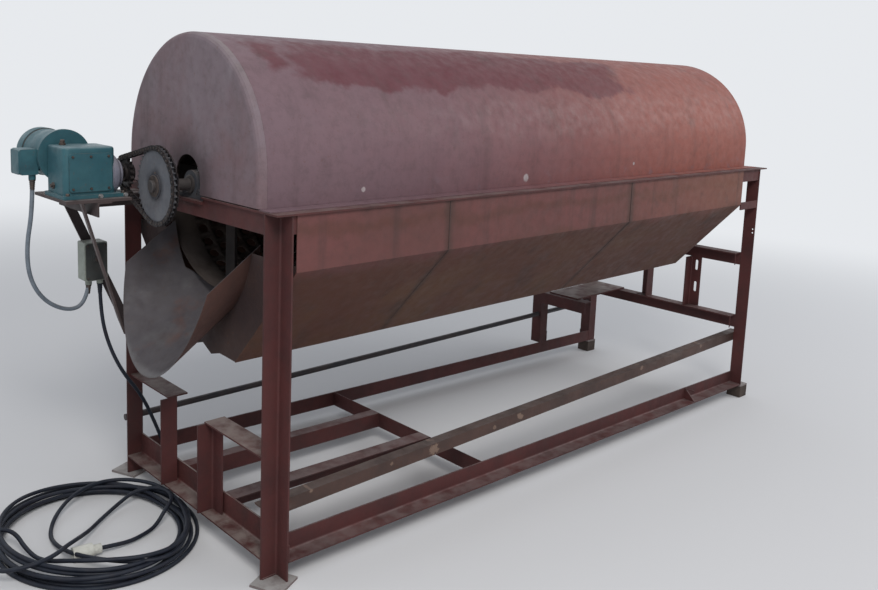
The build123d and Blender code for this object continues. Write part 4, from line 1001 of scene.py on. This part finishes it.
dark = bmesh.new()
for x in (-343, -153):
    bolt(dark, (x, 162, GEAR_FOOT_TOP), (0, 0, 1), 11)
for x in BEARING_MIDDLES:
    for y in (-74, 74):
        bolt(dark, (x, y, BEARING_FOOT_TOP), (0, 0, 1), 19)
        stack(dark, (x, y, BEARING_FOOT_TOP), (0, 0, 1), [(0, 6), (19, 6), (20, 5.2)], sides=14)
for quarter in range(4):
    angle = math.radians(45 + 90 * quarter)
    x = MOTOR_X + FLANGE_CIRCLE * math.cos(angle)
    z = MOTOR_Z + FLANGE_CIRCLE * math.sin(angle)
    if z > GEAR_TOP:
        bolt(dark, (x, 344.5, z), (0, 1, 0), 13)
for x in (-322, -261, -200):
    for z in (1213, 1321):
        bolt(dark, (x, 165.9, z), (0, -1, 0), 7)
for number in range(6):
    angle = math.radians(30 + 60 * number)
    spot = (-136.1, 235.5 + 40 * math.cos(angle), 1253 + 40 * math.sin(angle))
    bolt(dark, spot, (1, 0, 0), 8)
for y in (362, 422):
    for z in (1256, 1324):
        bolt(dark, (-428, y, z), (-1, 0, 0), 6)
for x, z in ((-235, 1146), (-180, 1146), (-285, 1150)):
    bolt(dark, (x, 465.9, z), (0, -1, 0), 15)
make_piece("machine_bolts", dark, dark_bolts)

# %% [markdown]
# ## Drive details
# The gearbox is a short casting that replaces the plain CAD block. A large round cover of a dull lilac,
# nearly as tall as the casting, closes its output side. A breather stands on it, and a dark joint shows
# where the fan cover is pushed on the motor. The open end of the fan cover has a round grille of wire
# rings.

# %% Gearbox and motor details
PINION_Y = 235.518
PINION_Z = 1253.019
FAN_JOINT = 509.3
FAN_END = 571.3


def rounded_block(shape, low, high, upright_round, top_round):
    """Adds a block between two corners with rounded upright edges and softened edges on top."""
    made = bmesh.ops.create_cube(shape, size=1)["verts"]
    for corner in made:
        corner.co = Vector([(a + b) / 2 + c * (b - a) for a, b, c in zip(low, high, corner.co)])
    edges = {edge for corner in made for edge in corner.link_edges}
    standing = [edge for edge in edges if abs(edge.verts[0].co.z - edge.verts[1].co.z) > 1]
    bmesh.ops.bevel(shape, geom=standing, offset=upright_round, segments=5, affect="EDGES", profile=0.5)
    rim = [
        edge for edge in shape.edges
        if all(abs(corner.co.z - high[2]) < 0.01 for corner in edge.verts) and len(edge.link_faces) == 2
        and min(abs(face.normal.z) for face in edge.link_faces) < 0.5
    ]
    if top_round:
        bmesh.ops.bevel(shape, geom=rim, offset=top_round, segments=3, affect="EDGES", profile=0.5)


casting = bmesh.new()
rounded_block(casting, (-350, 172, GEAR_BASE), (-172, 330, GEAR_TOP), 20, 9)
foot = bmesh.new()
rounded_block(foot, (-358, 156, GEAR_BASE), (-142, 330, GEAR_FOOT_TOP), 7, 0)
lid(foot, (-334, 166, 1203), (-188, 173, 1332), 10, 1)
set_on_machine(casting)
set_on_machine(foot)
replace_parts(make_piece("gearbox_casting", casting, gear_paint), "gearbox")
make_piece("gearbox_foot_and_lid", foot, gear_paint)

cover = bmesh.new()
cover_rings = [
    (-32, 66), (-29, 70), (-14, 70), (-8, 67), (-2, 60), (1, 52), (3, 50.5), (9, 50.5), (12.5, 47),
    (14.6, 40), (14.6, 22),
]
stack(cover, (-150, PINION_Y, PINION_Z), (1, 0, 0), cover_rings, sides=48)
make_piece("output_cover", cover, cover_paint)

details = bmesh.new()
stack(details, (-310, 285, GEAR_TOP), (0, 0, 1), [(0, 11), (7, 11), (8, 8), (16, 8), (19, 5)], sides=16)
stack(details, (-350, 262, 1218), (-1, 0, 0), [(0, 12), (5, 12), (6, 7), (12, 7)], sides=6)
make_piece("gearbox_plugs", details, dark_bolts)

joint = bmesh.new()
joint_rings = [(0, 82.4), (0.5, 84), (4.5, 84), (5, 82.4)]
stack(joint, (MOTOR_X, FAN_JOINT - 5, MOTOR_Z), (0, 1, 0), joint_rings, sides=72)
make_piece("fan_cover_joint", joint, dark_bolts)

grille = bmesh.new()
stack(grille, (MOTOR_X, FAN_END - 1, MOTOR_Z), (0, 1, 0), [(0, 66), (1.6, 66)], sides=48)
make_piece("fan_opening", grille, spider_steel)


def wire_ring(shape, radius, wire):
    """Adds a ring of wire over the fan's opening."""
    around, across = 48, 8
    loops = []
    for number in range(around):
        angle = 2 * math.pi * number / around
        loop = []
        for part in range(across):
            bend = 2 * math.pi * part / across
            reach = radius + wire * math.cos(bend)
            x = MOTOR_X + reach * math.cos(angle)
            z = MOTOR_Z + reach * math.sin(angle)
            loop.append(shape.verts.new(place(x, FAN_END + 2 + wire * math.sin(bend), z)))
        loops.append(loop)
    for low, high in zip(loops, loops[1:] + loops[:1]):
        for part in range(across):
            following = (part + 1) % across
            shape.faces.new((low[part], low[following], high[following], high[part]))


wires = bmesh.new()
for radius in (16, 27, 38, 49, 60):
    wire_ring(wires, radius, 1.7)
for number in range(4):
    angle = math.radians(45 * number)
    start = (MOTOR_X - 64 * math.cos(angle), FAN_END + 1.5, MOTOR_Z - 64 * math.sin(angle))
    stack(wires, start, (math.cos(angle), 0, math.sin(angle)), [(0, 1.6), (128, 1.6)], sides=8)
make_piece("fan_grille", wires, gear_paint)

# %% [markdown]
# The terminal box and the switch box each have a lid that stands a little proud, made as a block with
# rounded corners. A cable leaves its box through a gland, and a ribbed rubber sleeve that narrows towards
# the cable keeps it from bending sharply there.

# %% Lids
terminal_lid = bmesh.new()
lid(terminal_lid, (-432.5, 354, 1248), (-426.0, 430, 1332), 8, 0)
set_on_machine(terminal_lid)
make_piece("terminal_lid", terminal_lid, gear_paint)

switch_lid = bmesh.new()
lid(switch_lid, (-187, 400, 838), (-109, 406, 975), 8, 1)
lid(switch_lid, (-163, 396, 905), (-133, 401, 950), 5, 1)
set_on_machine(switch_lid)
make_piece("switch_lid", switch_lid, switch_cover)

knobs = bmesh.new()
for z, radius in ((937, 8.5), (917, 8.5)):
    stack(knobs, (-148, 396.5, z), (0, -1, 0), [(0, radius), (5, radius), (7, radius * 0.8)], sides=24)
for x in (-180, -116):
    for z in (846, 967):
        stack(knobs, (x, 400.5, z), (0, -1, 0), [(0, 3.6), (1.6, 3.6), (2.4, 2.6)], sides=14)
make_piece("switch_knobs", knobs, dark_bolts)

# %% Strain reliefs


def strain_relief(name, top, bottom, cable_radius, paint):
    """Ribbed sleeve round a cable, from a gland to where the cable is on its own."""
    shape = bmesh.new()
    start = Vector(top)
    run = Vector(bottom) - start
    length = run.length
    rings = [(0, 11.2), (3, 11.2)]
    for rib in range(5):
        share = (rib + 0.5) / 5
        radius = 10.4 + (cable_radius + 0.8 - 10.4) * share
        along = 3 + (length - 3) * share
        rings += [(along - 2.2, radius), (along - 1.2, radius)]
        rings += [(along, radius - 1.1), (along + 1.2, radius - 1.1)]
    rings.append((length, cable_radius + 0.4))
    stack(shape, start, run, rings, sides=24)
    return make_piece(name, shape, paint)


def on_machine(x, y, z):
    """Place on the machine, in millimetres, of a point given above the level ground."""
    return back_turn @ Vector((x, y, z))


for name, top, bottom, radius, paint, slot in (
    ("conduit_relief", (-418.3, 372.0, 1215.9), (-417.9, 372.3, 1180), 7.5, dark_bolts, "conduit_plastic"),
    ("conduit_entry", (-189.0, 437.4, 810.4), (-192.0, 435.8, 776), 7.5, dark_bolts, "conduit_plastic"),
    ("lead_relief", (-146.1, 437.4, 811.7), (-145.4, 435.4, 772), 7.0, lead_rubber, "lead_rubber"),
):
    strain_relief(name, on_machine(*top), on_machine(*bottom), radius, paint)

# %% [markdown]
# ## Bearings and sprocket hub
# Each pillow block has a grease nipple on its top and a locking collar on the shaft. The big sprocket's hub
# is keyed to the shaft. Its dark end shows in the sprocket's middle, with a set screw over the key.

# %% Collars, nipples and hub
collars = bmesh.new()
for x, side in ((16.5, -1), (58.5, 1), (3141.5, -1), (3183.5, 1)):
    stack(collars, (x, 0, DRUM_AXIS), (side, 0, 0), [(0, 31), (6, 31), (8, 28), (8, 21)], sides=36)
make_piece("bearing_collars", collars, shaft_steel, "drum")

nipples = bmesh.new()
nipple_rings = [(0, 5), (6, 5), (7, 3), (12, 3), (14, 4), (16, 2.5)]
for x in BEARING_MIDDLES:
    stack(nipples, (x, -14, 1276), (0, -0.3, 1), nipple_rings, sides=10)
make_piece("grease_nipples", nipples, bright_bolts)

hub = bmesh.new()
stack(hub, (-118.2, 0, DRUM_AXIS), (-1, 0, 0), [(0, 37), (2, 37), (3.5, 35), (3.5, 22)], sides=48)
stack(hub, (-112, 0, DRUM_AXIS + 40), (0, 0, 1), [(0, 5), (6, 5), (7, 4)], sides=14)
make_piece("sprocket_hub_ring", hub, dark_bolts, "drum")

# %% [markdown]
# ## Welds
# A machine like this is welded together by hand. A bead is a row of small overlapping ripples, so each one
# is a stack of rings whose radius goes up and down a little, laid along the corner that it fills.

# %% Weld beads
RIPPLE = 5.0
weld_chance = random.Random(7)


def bead(shape, start, end, radius):
    """Adds one weld bead between two places on the machine."""
    run = Vector(end) - Vector(start)
    ripples = max(3, int(run.length / RIPPLE))
    rings = [(0, radius * 0.5)]
    for number in range(ripples):
        along = run.length * (number + 0.5) / ripples
        size = radius * weld_chance.uniform(0.85, 1.15)
        rings += [(along - RIPPLE * 0.18, size), (along + RIPPLE * 0.3, size * 0.82)]
    rings.append((run.length, radius * 0.5))
    stack(shape, start, run, rings, sides=7)


def upright(shape, x, y, low, high, radius=3.2):
    """Adds an upright bead whose ends are given above the level ground."""
    bead(shape, (x, y, at_level(x, low)), (x, y, at_level(x, high)), radius)


welds = bmesh.new()
for side in (-1, 1):
    for x in (66, 3134):
        upright(welds, x, side * 543, 74, 133)
        upright(welds, x, side * 479, 74, 133)
    for x in (1047, 1055):
        upright(welds, x, side * INNER_FACE, 80, 130)
    for x in (3076, 3141):
        upright(welds, x, side * INNER_FACE, 396, 458)
        upright(welds, x, side * INNER_FACE, 752, 812)
    for x, z in ((0, 9), (3135, -22)):
        bead(welds, (x + 4, side * 484.5, z), (x + 61, side * 484.5, z), 3.4)
    for x, z in ((66, 9), (3134, -23)):
        bead(welds, (x, side * 482, z), (x, side * 539, z), 3.4)
for y in (-122, -114, 149, 157):
    upright(welds, 66, y, 80, 130)
    upright(welds, 1047, y, 80, 130)
bead(welds, (2625.5, -540, at_level(2626, 133)), (2625.5, -487, at_level(2626, 133)), 3.0)
for y in (160, 410.3):
    bead(welds, (-340, y, 1169), (-150, y, 1169), 2.6)
for x in (2625, 2690):
    upright(welds, x, 478, 140, 200)
for y in (-252, -187, 50, 115):
    bead(welds, (3080, y, 373), (3137, y, 373), 3.0)
make_piece("frame_welds", welds, frame_primer)

# %% [markdown]
# The trough's sheets were joined on the outside with a thin bead over each seam, from the rail down to the
# lower edge. It crosses the crease, so each seam takes two beads on each side.

# %% Seam beads on the trough
seams = bmesh.new()
for x in (1000 * seam for seam in SEAMS):
    for side in (-1, 1):
        bead(seams, (x, side * 542.3, 1190), (x, side * 542.3, 1016), 1.9)
        bead(seams, (x, side * 542.0, 1015), (x, side * 193.5, 636.5), 1.9)
make_piece("trough_seam_beads", seams, torn_steel)

# %% [markdown]
# ## Floor and light
# The light is soft and plain, so that colours show as they are: a pale floor, one large lamp for shape and
# an even world. Far from the machine the floor fades into the backdrop's own colour, so that no horizon
# shows, while near it the floor takes the machine's shadow.

# %% Floor
BACKDROP = (0.80, 0.82, 0.85, 1)
floor_mesh = bpy.data.meshes.new("floor")
floor_mesh.from_pydata([(-60, -60, 0), (60, -60, 0), (60, 60, 0), (-60, 60, 0)], [], [(0, 1, 2, 3)])
floor = bpy.data.objects.new("floor", floor_mesh)
floor.location.z = -0.0005
bpy.context.scene.collection.objects.link(floor)
floor_paint = bpy.data.materials.new("floor_paint")
floor_paint.use_nodes = True
floor_tree = floor_paint.node_tree
floor_tree.nodes.clear()
floor_place = add(floor_tree, "ShaderNodeTexCoord").outputs["Object"]
floor_reach = add(floor_tree, "ShaderNodeVectorMath", {0: floor_place}, operation="LENGTH").outputs["Value"]
near_floor = add(floor_tree, "ShaderNodeBsdfDiffuse", {"Color": (0.62, 0.62, 0.63, 1)}).outputs[0]
far_floor = add(floor_tree, "ShaderNodeEmission", {"Color": BACKDROP, "Strength": 1.0}).outputs[0]
fading = band(floor_tree, floor_reach, 3.0, 9.0)
floor_mix = add(floor_tree, "ShaderNodeMixShader", {0: fading, 1: near_floor, 2: far_floor}).outputs[0]
add(floor_tree, "ShaderNodeOutputMaterial", {"Surface": floor_mix})
floor_mesh.materials.append(floor_paint)
print("floor", floor_mesh.name)

# %% World and lamps
world = bpy.data.worlds.new("studio")
bpy.context.scene.world = world
world.use_nodes = True
world_tree = world.node_tree
world_tree.nodes.clear()
rays = add(world_tree, "ShaderNodeLightPath").outputs
seen = sum_up(world_tree, "MAXIMUM", rays["Is Camera Ray"], rays["Is Glossy Ray"])
soft_sky = {"Color": (0.9, 0.94, 1.0, 1), "Strength": 0.62}
soft_light = add(world_tree, "ShaderNodeBackground", soft_sky).outputs[0]
backdrop = add(world_tree, "ShaderNodeBackground", {"Color": BACKDROP, "Strength": 1.0}).outputs[0]
chosen = add(world_tree, "ShaderNodeMixShader", {0: seen, 1: soft_light, 2: backdrop}).outputs[0]
add(world_tree, "ShaderNodeOutputWorld", {"Surface": chosen})


def lamp(name, where, target, size, watts, colour=(1, 1, 1)):
    """Large soft lamp that points at a target."""
    data = bpy.data.lights.new(name, "AREA")
    data.shape = "DISK"
    data.size = size
    data.energy = watts
    data.color = colour
    light = bpy.data.objects.new(name, data)
    light.location = where
    light.rotation_mode = "QUATERNION"
    light.rotation_quaternion = (Vector(target) - Vector(where)).to_track_quat("-Z", "Y")
    bpy.context.scene.collection.objects.link(light)
    return light


lamp("key_lamp", (-4.0, -5.0, 6.0), (0, 0, 0.9), 3.0, 330, (1, 0.98, 0.95))
lamp("fill_lamp", (5.5, -3.5, 4.5), (0.4, 0, 0.9), 4.0, 130)
bpy.context.scene.view_settings.view_transform = "Standard"
print("lamps", len(bpy.data.lights))
